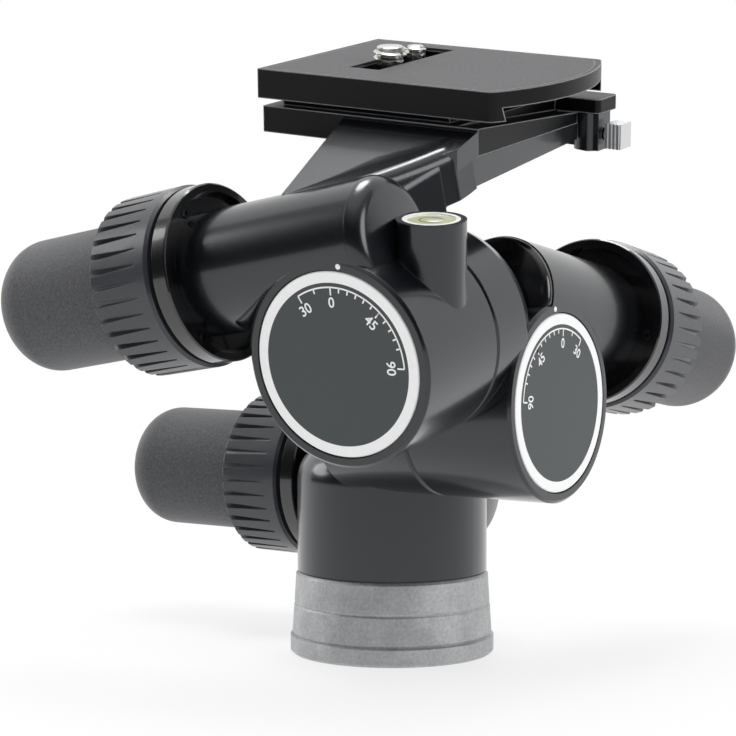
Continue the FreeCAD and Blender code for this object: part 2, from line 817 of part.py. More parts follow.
def arm():
    """Arm from the side housing back to the platform and the beam under it."""
    side = extrude_outline([
        V(0, ARM_FRONT, 112),
        V(0, ARM_FRONT, ARM_TOP_FRONT - 5),
        V(0, ARM_FRONT + 8, ARM_TOP_FRONT),
        V(0, PLATFORM_FRONT, ARM_TOP_BACK),
        V(0, PLATFORM_FRONT, PLATFORM_Z),
        V(0, BEAM_BACK, PLATFORM_Z),
        V(0, BEAM_BACK, BEAM_BACK_Z),
        V(0, BEAM_FRONT_Y, BEAM_FRONT_Z),
        V(0, BEAM_FRONT_Y - 7, 131),
        V(0, SIDE_JOINT_Y, 128),
        V(0, SIDE_JOINT_Y, 112),
    ], V(70, 0, 0))
    top = ARM_TOP_BACK + 5
    corner = V(PLATFORM_RIGHT - 4, BEAM_FRONT_Y - 6, top)
    front = extrude_outline([
        V(-20, ARM_FRONT, top),
        V(-20, corner.y, top),
        corner,
        V(31.5, ARM_FRONT, top),
    ], V(9.45, 0, -50))
    rear = extrude_outline([
        V(-20, corner.y, 100),
        V(-20, BEAM_BACK, 100),
        V(PLATFORM_RIGHT, BEAM_BACK, 100),
        V(PLATFORM_RIGHT, BEAM_FRONT_Y, 100),
        V(corner.x, corner.y, 100),
    ], V(0, 0, 80))
    left = extrude_outline([
        V(13, ARM_FRONT, 100),
        V(2, PLATFORM_FRONT, 100),
        V(14, PLATFORM_FRONT + 14, 100),
        V(28, BEAM_BACK, 100),
        V(80, BEAM_BACK, 100),
        V(80, ARM_FRONT, 100),
    ], V(0, 0, 80))
    side = side.common(left)
    shoulder = side.common(front)
    fold = [edge for edge in shoulder.Edges if edge.BoundBox.XMin > 35
            and edge.BoundBox.ZMin > ARM_TOP_FRONT - 6 and edge.BoundBox.ZLength > 1]
    shoulder = shoulder.makeFillet(ARM_FOLD_R, fold)
    swing_room = along_minus_y(
        cylinder(HOUSING_R + 0.5, -80, 0), SIDE_AXIS_X, SIDE_JOINT_Y, SIDE_AXIS_Z
    )
    return fuse(shoulder, side.common(rear)).cut(swing_room)


def side_housing():
    """Casting of the side tilt with the arm to the platform and the spirit level's boss."""
    blank = placed(housing_blank(), SIDE_DRIVE)
    worm_tube = tube(TILT_REACH).fuse(cylinder(TUBE_R, -TUBE_BLIND - BLIND_WALL, 0))
    worm_tube = placed(worm_tube.removeSplitter(), worm_frame(SIDE_DRIVE, SIDE_HAND))
    level_boss = Part.makeCylinder(VIAL_BOSS_R, 30, V(VIAL_X, VIAL_Y, VIAL_TOP - 30))
    body = fuse(blank, worm_tube, arm(), level_boss)
    cavity = placed(housing_cavity(), SIDE_DRIVE)
    worm_bore = placed(tube_bore(TILT_REACH), worm_frame(SIDE_DRIVE, SIDE_HAND))
    vial_seat = Part.makeCylinder(VIAL_RING_R, 6, V(VIAL_X, VIAL_Y, VIAL_TOP - 5.5))
    return body.cut(cavity).cut(worm_bore).cut(vial_seat)


# ---------------------------------------------------------------- platform and plate
PEDESTAL_TOP = PLATE_TOP - PLATE_WEB
PLATFORM_TOP = PLATFORM_Z + PLATFORM_T
LEVER_PIN_TOP = PLATFORM_TOP - 1.2
CHANNEL_HALF = 8.6
CHANNEL_DEPTH = 5.4


def dovetail(front, back, left, right, low, high, undercut):
    """Block along X whose front and back faces widen upwards."""
    return extrude_outline([
        V(left, front + undercut, low),
        V(left, front, high),
        V(left, back, high),
        V(left, back - undercut, low),
    ], V(right - left, 0, 0))


def platform():
    """Slab on the arm, with the raised rail that the camera plate locks on."""
    slab = box(PLATFORM_LEFT, PLATFORM_RIGHT, PLATFORM_FRONT, PLATFORM_BACK, PLATFORM_Z, PLATFORM_TOP)
    hub_room = Part.makeCylinder(LEVER_R + 0.8, EAR_LOW - PLATFORM_Z + 1, V(LEVER_X, LEVER_Y, PLATFORM_Z - 1))
    handle_room = box(
        LEVER_TIP_X - 2, LEVER_X, LEVER_Y - LEVER_R + 0.2, PLATFORM_BACK + 1, PLATFORM_Z - 1, EAR_LOW
    )
    ear_right = LEVER_X + EAR_HALF
    ear = box(
        ear_right - EAR_L, ear_right, LEVER_Y - EAR_HALF, LEVER_Y + EAR_HALF, EAR_LOW, PLATFORM_TOP
    )
    corners = [edge for edge in ear.Edges if abs(edge.BoundBox.XMin - ear_right) < 1e-6
               and edge.BoundBox.ZLength > 1]
    ear = ear.makeFillet(EAR_CORNER_R, corners)
    wing_cut = extrude_outline([
        V(38, -21, PLATFORM_TOP + 0.01),
        V(38, 39, PLATFORM_TOP + 0.01),
        V(38, 39, 150.5),
    ], V(10, 0, 0))
    inner_front = PLATE_FRONT + SKIRT_T + OPEN_GAP
    inner_back = PLATE_FRONT + PLATE_W - SKIRT_T - OPEN_GAP
    rail = dovetail(inner_front, inner_back, -21, 34, PLATFORM_TOP - 1, PEDESTAL_TOP, 1.6)
    channel = box(
        SLOT_X - CHANNEL_HALF, SLOT_X + CHANNEL_HALF,
        -12, 33, PEDESTAL_TOP - CHANNEL_DEPTH, PEDESTAL_TOP + 1,
    )
    slab = slab.cut(wing_cut).cut(hub_room).cut(handle_room)
    pin_hole = Part.makeCylinder(LEVER_PIN_R, LEVER_PIN_TOP - PLATFORM_Z, V(LEVER_X, LEVER_Y, PLATFORM_Z))
    return fuse(slab, rail, ear).cut(channel).cut(pin_hole)


def plate_outline(inset, low, high):
    """Block with the plate's outline, bowed at the right end, set in all round."""
    left = PLATE_LEFT + inset
    right = PLATE_LEFT + PLATE_L - inset
    front = PLATE_FRONT + inset
    back = PLATE_FRONT + PLATE_W - inset
    outline = Part.Wire([
        Part.makeLine(V(left, back, low), V(left, front, low)),
        Part.makeLine(V(left, front, low), V(right, front, low)),
        Part.Arc(
            V(right, front, low),
            V(right + PLATE_BOW, (front + back) / 2, low),
            V(right, back, low),
        ).toShape(),
        Part.makeLine(V(right, back, low), V(left, back, low)),
    ])
    block = Part.Face(outline).extrude(V(0, 0, high - low))
    corners = [edge for edge in block.Edges if abs(edge.BoundBox.XMin - right) < 1e-6
               and edge.BoundBox.XLength < 1e-6]
    return block.makeFillet(PLATE_CORNER_R - inset / 2, corners)


SCREW_SLOT_HALF = LARGE_SCREW_R + 0.25
SCREW_SLOT = (SLOT_X - SCREW_SLOT_HALF, SLOT_X + SCREW_SLOT_HALF, -8, 33)


def quick_plate():
    """Camera plate with a skirt along each long side and a slot for the screws."""
    back = PLATE_FRONT + PLATE_W
    low = PLATE_TOP - PLATE_H
    hollow = dovetail(
        PLATE_FRONT + SKIRT_T, back - SKIRT_T, PLATE_LEFT + 3, PLATE_LEFT + PLATE_L + PLATE_BOW + 1,
        low - 0.01, PEDESTAL_TOP, 1.6 * (PLATE_H - PLATE_WEB) / (PEDESTAL_TOP - PLATFORM_TOP),
    )
    slot = box(*SCREW_SLOT, PEDESTAL_TOP - 1, PLATE_TOP + 1)
    pad_seat = plate_outline(PAD_RIM, PLATE_TOP - PAD_T, PLATE_TOP + 1)
    return plate_outline(0, low, PLATE_TOP).cut(hollow).cut(slot).cut(pad_seat)


def plate_pad():
    """Thin rubber pad let into the top of the plate."""
    return plate_outline(PAD_RIM, PLATE_TOP - PAD_T, PLATE_TOP).cut(
        box(*SCREW_SLOT, PLATE_TOP - 2, PLATE_TOP + 1)
    )


SCREW_CHAMFER = 0.8
RETAINER_T = 0.8
LARGE_HEAD_R = 7.0
SMALL_HEAD_R = 5.6
SCREW_HEAD_T = 3.6
NECK_CUT = 0.8


def camera_screw(thread_r, head_r, y, stand):
    """Captive camera screw: slotted head under the plate, narrower neck, thread above it."""
    head_top = PEDESTAL_TOP - RETAINER_T
    head_low = head_top - SCREW_HEAD_T
    top = PLATE_TOP + stand
    screw = revolve([
        (0, head_low),
        (head_r, head_low),
        (head_r, head_top),
        (thread_r - NECK_CUT, head_top),
        (thread_r - NECK_CUT, PLATE_TOP),
        (thread_r, PLATE_TOP + 0.2),
        (thread_r, top - SCREW_CHAMFER),
        (thread_r - SCREW_CHAMFER, top),
        (0, top),
    ])
    slot = box(-head_r - 1, head_r + 1, -0.7, 0.7, head_low - 1, head_low + 1.4)
    screw = screw.cut(slot)
    screw.translate(V(SLOT_X, y, 0))
    return screw


def screw_retainer(thread_r, head_r, y):
    """Washer that keeps a camera screw in the slot and slides with it."""
    bore = thread_r - NECK_CUT + 0.1
    ring = revolve([
        (bore, PEDESTAL_TOP - RETAINER_T),
        (head_r, PEDESTAL_TOP - RETAINER_T),
        (head_r, PEDESTAL_TOP),
        (bore, PEDESTAL_TOP),
    ])
    ring.translate(V(SLOT_X, y, 0))
    return ring


# ---------------------------------------------------------------- plate lock
def lever_pin():
    """Upright pin from the platform's ear through the lever."""
    low = LEVER_LOW - 0.6
    return Part.makeCylinder(LEVER_PIN_R, LEVER_PIN_TOP - low, V(LEVER_X, LEVER_Y, low))


def lock_lever():
    """Lever under the ear, with its handle along the back of the platform."""
    high = EAR_LOW - OPEN_GAP
    hub = Part.makeCylinder(LEVER_R, high - LEVER_LOW, V(LEVER_X, LEVER_Y, LEVER_LOW))
    handle = extrude_outline([
        V(LEVER_X, LEVER_Y - 3.5, LEVER_LOW + 1),
        V(LEVER_X, LEVER_Y + LEVER_R - 0.5, LEVER_LOW + 1),
        V(LEVER_TIP_X, LEVER_Y + LEVER_R + 1.5, LEVER_LOW + 1),
        V(LEVER_TIP_X, LEVER_Y + 1.5, LEVER_LOW + 1),
    ], V(0, 0, high - LEVER_LOW - 2.5))
    catch_block = box(
        LEVER_X, LEVER_X + LEVER_R, LEVER_Y - CATCH_HALF, LEVER_Y + CATCH_HALF, LEVER_LOW, high
    )
    pin_hole = Part.makeCylinder(LEVER_PIN_R + SHAFT_FIT, 30, V(LEVER_X, LEVER_Y, LEVER_LOW - 5))
    plunger_hole = Part.makeCylinder(
        CATCH_STEM_R + SHAFT_FIT, LEVER_R, V(LEVER_X + LEVER_PIN_R + 0.6, LEVER_Y, CATCH_Z), X_AXIS
    )
    return fuse(hub, handle, catch_block).cut(pin_hole).cut(plunger_hole)


def safety_catch():
    """Ribbed thumb piece on a stem that slides into the lever's hub."""
    face = LEVER_X + LEVER_R + CATCH_TRAVEL
    stem_start = LEVER_X + LEVER_PIN_R + 0.8 + CATCH_TRAVEL
    thumb = box(
        face, face + CATCH_L, LEVER_Y - CATCH_HALF, LEVER_Y + CATCH_HALF, CATCH_Z - 3.6, CATCH_Z + 3.6
    )
    stem = Part.makeCylinder(CATCH_STEM_R, face + 1 - stem_start, V(stem_start, LEVER_Y, CATCH_Z), X_AXIS)
    ribs = []
    for index in range(CATCH_RIBS):
        x = face + 0.9 + index * 1.2
        for side in (-1, 1):
            rib = box(x, x + 0.5, -1, 1, CATCH_Z - 5, CATCH_Z + 5)
            rib.translate(V(0, LEVER_Y + side * (CATCH_HALF + 0.6), 0))
            ribs.append(rib)
    return fuse(thumb, stem).cut(Part.makeCompound(ribs))


def vial():
    """Round spirit level."""
    return Part.makeCylinder(VIAL_R, 5.2, V(VIAL_X, VIAL_Y, VIAL_TOP - 5.5))


def vial_ring():
    """Pale ring that holds the spirit level in its boss."""
    outer = Part.makeCylinder(VIAL_RING_R, 5.5, V(VIAL_X, VIAL_Y, VIAL_TOP - 5.5))
    return outer.cut(Part.makeCylinder(VIAL_R, 7, V(VIAL_X, VIAL_Y, VIAL_TOP - 6)))


# ---------------------------------------------------------------- assembly
def drive_pieces(name, rest, drive, hand, reach):
    """Pieces of one worm drive that sit on its housing or turn in it."""
    place = rest.multiply(worm_frame(drive, hand))
    return {
        name + "_worm_shaft": placed(worm_shaft(reach), place),
        name + "_knob_core": placed(knob_core(reach), place),
        name + "_knob_grip": placed(knob_grip(reach), place),
        name + "_collar": placed(collar(reach), place),
        name + "_release_sleeve": placed(release_sleeve(reach), place),
        name + "_flange": placed(flange(reach), place),
        name + "_collar_spring": placed(collar_spring(reach), place),
    }


def axle_pieces(name, rest, drive, buried, head_r, head_t):
    """Axle, wheel, nut and dial of one tilt, in the pose the housing has at rest."""
    place = rest.multiply(drive)
    return {
        name + "_axle": placed(axle(buried, head_r, head_t), place),
        name + "_worm_wheel": placed(hubbed_wheel(AXLE_R), place),
        name + "_axle_nut": placed(hexagon_nut(NUT_AF, AXLE_R, NUT_START, NUT_END), place),
        name + "_dial": placed(dial(), place),
        name + "_dial_ring": placed(dial_ring(), place),
        name + "_axle_bush": placed(axle_bush(), place),
        name + "_bearing_plate": placed(bearing_plate(), place),
    }


def assembly():
    """Every piece of the head, by name."""
    level = FreeCAD.Placement()
    pieces = {
        "tripod_base": tripod_base(),
        "tripod_thread_bush": tripod_thread_bush(),
        "pan_worm_wheel": placed(hubbed_wheel(SEAT_R), PAN_DRIVE),
        "pan_housing": pan_housing(),
        "pan_thrust_washer": pan_thrust_washer(),
        "pan_spindle": pan_spindle(),
        "pan_spindle_nut": pan_spindle_nut(),
        "front_housing": placed(front_housing(), FRONT_REST),
        "side_housing": placed(side_housing(), SIDE_REST),
        "platform": placed(platform(), SIDE_REST),
        "quick_plate": placed(quick_plate(), SIDE_REST),
        "plate_pad": placed(plate_pad(), SIDE_REST),
        "spirit_level": placed(vial(), SIDE_REST),
        "spirit_level_ring": placed(vial_ring(), SIDE_REST),
        "camera_screw_large": placed(
            camera_screw(LARGE_SCREW_R, LARGE_HEAD_R, LARGE_SCREW_Y, LARGE_SCREW_STAND), SIDE_REST
        ),
        "camera_screw_small": placed(
            camera_screw(SMALL_SCREW_R, SMALL_HEAD_R, SMALL_SCREW_Y, SMALL_SCREW_STAND), SIDE_REST
        ),
        "screw_retainer_large": placed(
            screw_retainer(LARGE_SCREW_R, LARGE_HEAD_R, LARGE_SCREW_Y), SIDE_REST
        ),
        "screw_retainer_small": placed(
            screw_retainer(SMALL_SCREW_R, SMALL_HEAD_R, SMALL_SCREW_Y), SIDE_REST
        ),
        "lever_pin": placed(lever_pin(), SIDE_REST),
        "lock_lever": placed(lock_lever(), SIDE_REST),
        "safety_catch": placed(safety_catch(), SIDE_REST),
    }
    front_buried = FRONT_JOINT_X - BOSS_LEFT
    pieces["pan_end_cap"] = placed(end_cap(), worm_frame(PAN_DRIVE, PAN_HAND))
    front_worm = FRONT_REST.multiply(worm_frame(FRONT_DRIVE, FRONT_HAND))
    pieces["front_end_cap"] = placed(end_cap(), front_worm)
    side_worm = SIDE_REST.multiply(worm_frame(SIDE_DRIVE, SIDE_HAND))
    pieces["side_end_bearing"] = placed(end_bearing(), side_worm)
    pieces.update(drive_pieces("pan", level, PAN_DRIVE, PAN_HAND, 0))
    pieces.update(drive_pieces("front", FRONT_REST, FRONT_DRIVE, FRONT_HAND, TILT_REACH))
    pieces.update(drive_pieces("side", SIDE_REST, SIDE_DRIVE, SIDE_HAND, TILT_REACH))
    pieces.update(axle_pieces(
        "front", FRONT_REST, FRONT_DRIVE, front_buried, AXLE_HEAD_R, AXLE_HEAD_T
    ))
    pieces.update(axle_pieces(
        "side", SIDE_REST, SIDE_DRIVE, SIDE_AXLE_BURIED, AXLE_R, 1.0
    ))
    return pieces


def export_pieces():
    """Write one STEP file for each piece."""
    os.makedirs("parts", exist_ok=True)
    for name, shape in assembly().items():
        shape.exportStep("parts/" + name + ".step")


export_pieces()
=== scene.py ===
import json
import math

import bmesh
import bpy
from bpy.props import FloatProperty, FloatVectorProperty, IntProperty, PointerProperty
from mathutils import Matrix, Vector


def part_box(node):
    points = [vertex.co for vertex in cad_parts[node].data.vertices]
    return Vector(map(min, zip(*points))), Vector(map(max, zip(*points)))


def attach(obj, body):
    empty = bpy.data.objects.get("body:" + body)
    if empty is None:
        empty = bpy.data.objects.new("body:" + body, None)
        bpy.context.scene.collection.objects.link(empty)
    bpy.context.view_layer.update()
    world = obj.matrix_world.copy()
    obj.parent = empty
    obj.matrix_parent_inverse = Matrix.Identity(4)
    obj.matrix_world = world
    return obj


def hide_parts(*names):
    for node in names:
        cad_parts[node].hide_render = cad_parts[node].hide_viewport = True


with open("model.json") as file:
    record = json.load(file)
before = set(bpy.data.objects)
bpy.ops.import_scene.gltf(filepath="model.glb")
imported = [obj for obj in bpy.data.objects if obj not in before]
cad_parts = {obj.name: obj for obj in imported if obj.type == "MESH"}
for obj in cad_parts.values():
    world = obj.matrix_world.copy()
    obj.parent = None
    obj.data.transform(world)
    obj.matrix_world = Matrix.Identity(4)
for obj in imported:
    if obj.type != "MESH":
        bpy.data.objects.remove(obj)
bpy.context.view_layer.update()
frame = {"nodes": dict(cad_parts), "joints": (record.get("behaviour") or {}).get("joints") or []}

bl_info = {
    "name": "Geared Head Finishes",
    "version": (1, 0, 0),
    "blender": (4, 5, 0),
    "location": "View3D > Sidebar > Geared Head",
    "description": "Finishes, dial scales, threads and small fasteners of a geared three-way head",
    "category": "Object",
}

MM = 0.001


# ------------------------------------------------------------------ colours and nodes
def linear(code, alpha=1.0):
    """Linear colour of an sRGB hex code such as #8899aa."""
    parts = [int(code[i:i + 2], 16) / 255 for i in (1, 3, 5)]
    return tuple(p / 12.92 if p <= 0.04045 else ((p + 0.055) / 1.055) ** 2.4 for p in parts) + (alpha,)


def add_node(tree, kind, inputs=None, **settings):
    """Add a node with its own settings and inputs. An input that is given a socket is linked to it."""
    node = tree.nodes.new(kind)
    for name, value in settings.items():
        setattr(node, name, value)
    for name, value in (inputs or {}).items():
        if isinstance(value, bpy.types.NodeSocket):
            tree.links.new(value, node.inputs[name])
        else:
            node.inputs[name].default_value = value
    return node


def maths(tree, operation, *terms, **settings):
    """Result of a maths node over numbers and sockets."""
    terms = dict(enumerate(terms))
    return add_node(tree, "ShaderNodeMath", terms, operation=operation, **settings).outputs[0]


def combine(tree, **parts):
    """Vector of the given parts, each a number or a socket."""
    return add_node(tree, "ShaderNodeCombineXYZ", parts).outputs["Vector"]


def scaled(tree, vector, factor):
    """A vector times a factor."""
    node = add_node(tree, "ShaderNodeVectorMath", {0: vector, "Scale": factor}, operation="SCALE")
    return node.outputs["Vector"]


def map_range(tree, value, old, new):
    """A value carried over from one range to another."""
    inputs = {"Value": value, "From Min": old[0], "From Max": old[1], "To Min": new[0], "To Max": new[1]}
    return add_node(tree, "ShaderNodeMapRange", inputs).outputs["Result"]


def blend_shaders(tree, share, low, high, output):
    """Mix two shaders by a share on their way to the tree's output node."""
    mix = add_node(tree, "ShaderNodeMixShader", {0: share, 1: low.outputs[0], 2: high.outputs[0]})
    tree.links.new(mix.outputs[0], tree.nodes[output].inputs["Surface"])


def start_material(name, **shader_values):
    """New material with the values of its shader, and the tree, the shader and the object coordinates."""
    material = bpy.data.materials.new(name)
    material.use_nodes = True
    tree = material.node_tree
    shader = tree.nodes["Principled BSDF"]
    for socket, value in shader_values.items():
        shader.inputs[socket.replace("_", " ")].default_value = value
    place = add_node(tree, "ShaderNodeTexCoord").outputs["Object"]
    return material, tree, shader, place


def link_surface(tree, shader, place, colours, grain_mm, spread, bump_mm, edge_mm, detail=3.0):
    """Mottle a shader's colour at a grain size, with grain and soft edges, and return the colour's ramp."""
    noise = add_node(tree, "ShaderNodeTexNoise", {
        "Scale": 1 / (grain_mm * MM), "Detail": detail, "Roughness": 0.6, "Vector": place,
    }).outputs["Fac"]
    ramp = add_node(tree, "ShaderNodeValToRGB", {"Fac": noise})
    for stop, side, tone in zip(ramp.color_ramp.elements, (-spread, spread), colours):
        stop.position = 0.5 + side
        stop.color = linear(tone) if isinstance(tone, str) else (*tone, 1)
    tree.links.new(ramp.outputs["Color"], shader.inputs["Base Color"])
    edge = add_node(tree, "ShaderNodeBevel", {"Radius": edge_mm * MM}, samples=4)
    bump = add_node(tree, "ShaderNodeBump", {
        "Strength": 1.0, "Distance": bump_mm * MM, "Height": noise, "Normal": edge.outputs["Normal"],
    })
    tree.links.new(bump.outputs["Normal"], shader.inputs["Normal"])
    return ramp


def mottled(name, colours, grain_mm, spread, bump_mm, edge_mm, detail=3.0, **shader_values):
    """New material with a mottled colour, fine grain and soft edges."""
    material, tree, shader, place = start_material(name, **shader_values)
    link_surface(tree, shader, place, colours, grain_mm, spread, bump_mm, edge_mm, detail)
    return material


def shade(tone, factor):
    """A tone made darker or lighter."""
    return [min(1.0, part * factor) for part in tone]


def lay_over(tree, shader, ramp, share, colour):
    """Lay one colour over a finish's pattern where a share is high."""
    inputs = {"Factor": share, 6: ramp.outputs["Color"], 7: linear(colour)}
    mix = add_node(tree, "ShaderNodeMix", inputs, data_type="RGBA")
    tree.links.new(mix.outputs[2], shader.inputs["Base Color"])


# ------------------------------------------------------------------ finishes
def powder_coated_casting():
    """Powder-coated die-cast aluminium: satin, near black, with a fine orange peel and soft highlights."""
    look = bpy.context.scene.head_finish
    # The peel is drawn 0.5 mm across, about twice its real size, so that it shows at all.
    # The specular tint paints a cool blue cast into the reflections, as painted light.
    return mottled(
        "powder_coated_die_cast_aluminium", (look.casting_dark, look.casting_light), 0.5, 0.22, 0.018, 0.5,
        IOR=1.5, Roughness=0.25, Coat_Weight=0.55, Coat_Roughness=0.12, Specular_Tint=(0.86, 0.93, 1.0, 1.0),
    )


def gloss_lacquered_disc():
    """Gloss-lacquered turned aluminium: a deep black that mirrors what stands round it."""
    # Dust and small waves in the lacquer are about 1.2 mm across.
    return mottled(
        "gloss_lacquered_aluminium", ("#08090b", "#101114"), 1.2, 0.25, 0.006, 0.35,
        IOR=1.5, Roughness=0.2, Coat_Weight=0.8, Coat_Roughness=0.06,
    )


def blasted_anodised_base():
    """Glass-bead-blasted, clear-anodised aluminium: pale silver, dull, with a fine mottle."""
    material, tree, shader, place = start_material(
        "bead_blasted_anodised_aluminium", Metallic=0.75, Roughness=0.52,
    )
    ramp = link_surface(tree, shader, place, ("#a3a4a6", "#c4c5c6"), 0.9, 0.25, 0.02, 0.35, detail=6.0)
    # Clouds of 7 mm, where the blasting was uneven, are laid over the fine grain.
    clouds = add_node(tree, "ShaderNodeTexNoise", {"Scale": 1 / (7 * MM), "Detail": 2.0, "Vector": place})
    tone = map_range(tree, clouds.outputs["Fac"], (0.3, 0.7), (0.86, 1.06))
    tree.links.new(scaled(tree, ramp.outputs["Color"], tone), shader.inputs["Base Color"])
    return material


def ribbed_elastomer():
    """Moulded thermoplastic elastomer: bluish dark grey ribs with a satin shine and a fine mould grain."""
    tone = bpy.context.scene.head_finish.collar_tone
    # Spark-eroded mould grain of about 0.3 mm.
    return mottled(
        "moulded_thermoplastic_elastomer", (tone, shade(tone, 1.5)), 0.3, 0.25, 0.015, 0.35,
        IOR=1.5, Roughness=0.38, Sheen_Weight=0.12, Sheen_Roughness=0.4, Coat_Weight=0.35, Coat_Roughness=0.2,
    )


def speckled_foam_rubber():
    """Closed-cell foam rubber: dark grey and dry, with fine specks and a soft rim of scattered light."""
    tone = bpy.context.scene.head_finish.grip_tone
    # The cells are 0.3 mm across; they are drawn at 0.7 mm so that they show.
    return mottled(
        "closed_cell_foam_rubber", (shade(tone, 0.55), shade(tone, 1.9)), 0.7, 0.24, 0.08, 0.5, detail=4.0,
        IOR=1.45, Roughness=0.78, Sheen_Weight=0.35, Sheen_Roughness=0.5,
    )


def glass_filled_nylon():
    """Glass-filled nylon, moulded: charcoal, dull, with a faint flow pattern."""
    # Fibre bundles near the skin show as marks 1.5 mm long.
    return mottled(
        "glass_filled_nylon", ("#1b1c1e", "#2a2b2e"), 1.5, 0.3, 0.01, 0.3, IOR=1.53, Roughness=0.5,
    )


def turned_metal(name, colours, roughness, pitch_mm):
    """Metal turned on a lathe: fine tool marks break up its reflections."""
    # The tool leaves marks 0.1 mm apart; they are drawn at the given pitch so that they show.
    return mottled(name, colours, pitch_mm, 0.3, 0.008, 0.15, Metallic=1.0, Roughness=roughness)


def turned_steel():
    """Turned free-cutting steel: cool mid grey."""
    return turned_metal("turned_free_cutting_steel", ("#8b8d90", "#a9abad"), 0.32, 0.5)


def blacked_steel():
    """Oil-blacked alloy steel, for the small socket screws: dark, with a soft metal shine."""
    return turned_metal("oil_blacked_alloy_steel", ("#3a3c40", "#4c4e53"), 0.3, 0.4)


def nickel_plated_steel():
    """Nickel-plated steel: bright, slightly warm white metal with crisp highlights."""
    return turned_metal("nickel_plated_steel", ("#c9c8c4", "#dddcd9"), 0.2, 0.6)


def drawn_spring_steel():
    """Oil-tempered spring wire: blue-grey and fairly dark."""
    return turned_metal("oil_tempered_spring_steel", ("#5c5f66", "#74777d"), 0.35, 0.4)


def turned_bronze():
    """Turned tin bronze: yellow-brown, satin, for the wheels and bushes."""
    return turned_metal("turned_tin_bronze", ("#a8834f", "#c39d63"), 0.34, 0.5)


def satin_chromed_catch():
    """Satin-chromed zinc: near-white metal, softly blurred."""
    return turned_metal("satin_chromed_zinc", ("#cfd1d3", "#e3e4e6"), 0.34, 0.4)


def acetal_washer():
    """Machined black acetal: near black and waxy."""
    # Turning marks 0.4 mm apart.
    return mottled("machined_acetal", ("#26282a", "#313335"), 0.4, 0.3, 0.004, 0.1, IOR=1.48, Roughness=0.35)


def printed_dial_face():
    """Screen-printed aluminium disc: dark grey-green, flat satin, with a faint grain."""
    tone = bpy.context.scene.head_finish.dial_tone
    # The ink's grain is about 0.25 mm.
    return mottled(
        "screen_printed_aluminium_disc", (tone, shade(tone, 1.25)), 0.25, 0.3, 0.004, 0.1,
        IOR=1.5, Roughness=0.3,
    )


def white_enamel():
    """White stoving enamel, for the dial rings and the printed marks: clean, smooth and opaque."""
    # The enamel levels out in waves of about 2 mm.
    return mottled(
        "white_stoving_enamel", ("#f4f5f5", "#fbfbfb"), 2.0, 0.3, 0.004, 0.12, IOR=1.52, Roughness=0.34,
    )


def hard_anodised_plate():
    """Hard-anodised milled aluminium: deep black, dry, with pale lines on the edges, partly metal worn bare
    and partly painted highlight.
    """
    material, tree, shader, place = start_material(
        "hard_anodised_aluminium", IOR=1.45, Roughness=0.36, Specular_IOR_Level=0.22,
    )
    ramp = link_surface(tree, shader, place, ("#050608", "#0c0d10"), 0.4, 0.3, 0.01, 0.3)
    # Handling wears the edges through to pale metal, 0.25 mm wide and drawn twice as wide so that it shows;
    # the pale line is also a painted highlight along the edges.
    edge = add_node(tree, "ShaderNodeBevel", {"Radius": 0.55 * MM}, samples=4)
    flat = add_node(tree, "ShaderNodeNewGeometry")
    agree = add_node(
        tree, "ShaderNodeVectorMath", {0: edge.outputs["Normal"], 1: flat.outputs["True Normal"]},
        operation="DOT_PRODUCT",
    )
    worn_edge_and_highlight = map_range(tree, agree.outputs["Value"], (0.985, 0.86), (0.0, 1.0))
    lay_over(tree, shader, ramp, worn_edge_and_highlight, "#b4b7ba")
    return material


def cork_rubber_pad():
    """Cork-filled nitrile rubber: grey, dull and grainy, with pale crumbs pressed into it."""
    material, tree, shader, place = start_material(
        "cork_filled_nitrile_rubber", IOR=1.45, Roughness=0.62, Sheen_Weight=0.1, Sheen_Roughness=0.5,
    )
    ramp = link_surface(tree, shader, place, ("#1a1b1e", "#313236"), 0.8, 0.25, 0.06, 0.2, detail=5.0)
    # Crumbs of 1.1 mm are scattered through the rubber.
    crumbs = add_node(
        tree, "ShaderNodeTexVoronoi", {"Scale": 1 / (1.1 * MM), "Randomness": 1.0, "Vector": place},
    )
    crumb = map_range(tree, crumbs.outputs["Distance"], (0.32, 0.12), (0.0, 0.5))
    lay_over(tree, shader, ramp, crumb, "#606165")
    return material


def level_liquid():
    """Dyed alcohol behind acrylic: a glowing yellow-green seen through a clear window, made paler as painted
    light against the shade of the arm and plate over it.
    """
    # The dye is a little uneven, in clouds of 3 mm.
    # The pale tones are the dye's yellow-green with painted light laid in, for the shade of the arm and plate
    # above.
    return mottled(
        "dyed_level_fluid", ("#eaf0b8", "#f5f8d6"), 3.0, 0.35, 0.002, 0.15,
        IOR=1.36, Roughness=0.08, Coat_Weight=1.0, Coat_Roughness=0.04,
    )


def level_bubble_air():
    """Air bubble under the window: a paler, glossy lens."""
    # A faint swirl of 1 mm in the film round the bubble.
    return mottled(
        "air_bubble_under_acrylic", ("#f8fae4", "#fdfef2"), 1.0, 0.35, 0.002, 0.1,
        IOR=1.49, Roughness=0.05, Coat_Weight=1.0, Coat_Roughness=0.03,
    )


def black_print():
    """Black pad-printing ink: flat and opaque."""
    # Ink laid down through a mesh of 0.2 mm.
    return mottled(
        "black_printing_ink", ("#101113", "#1a1b1d"), 0.2, 0.3, 0.003, 0.05, IOR=1.5, Roughness=0.5,
    )


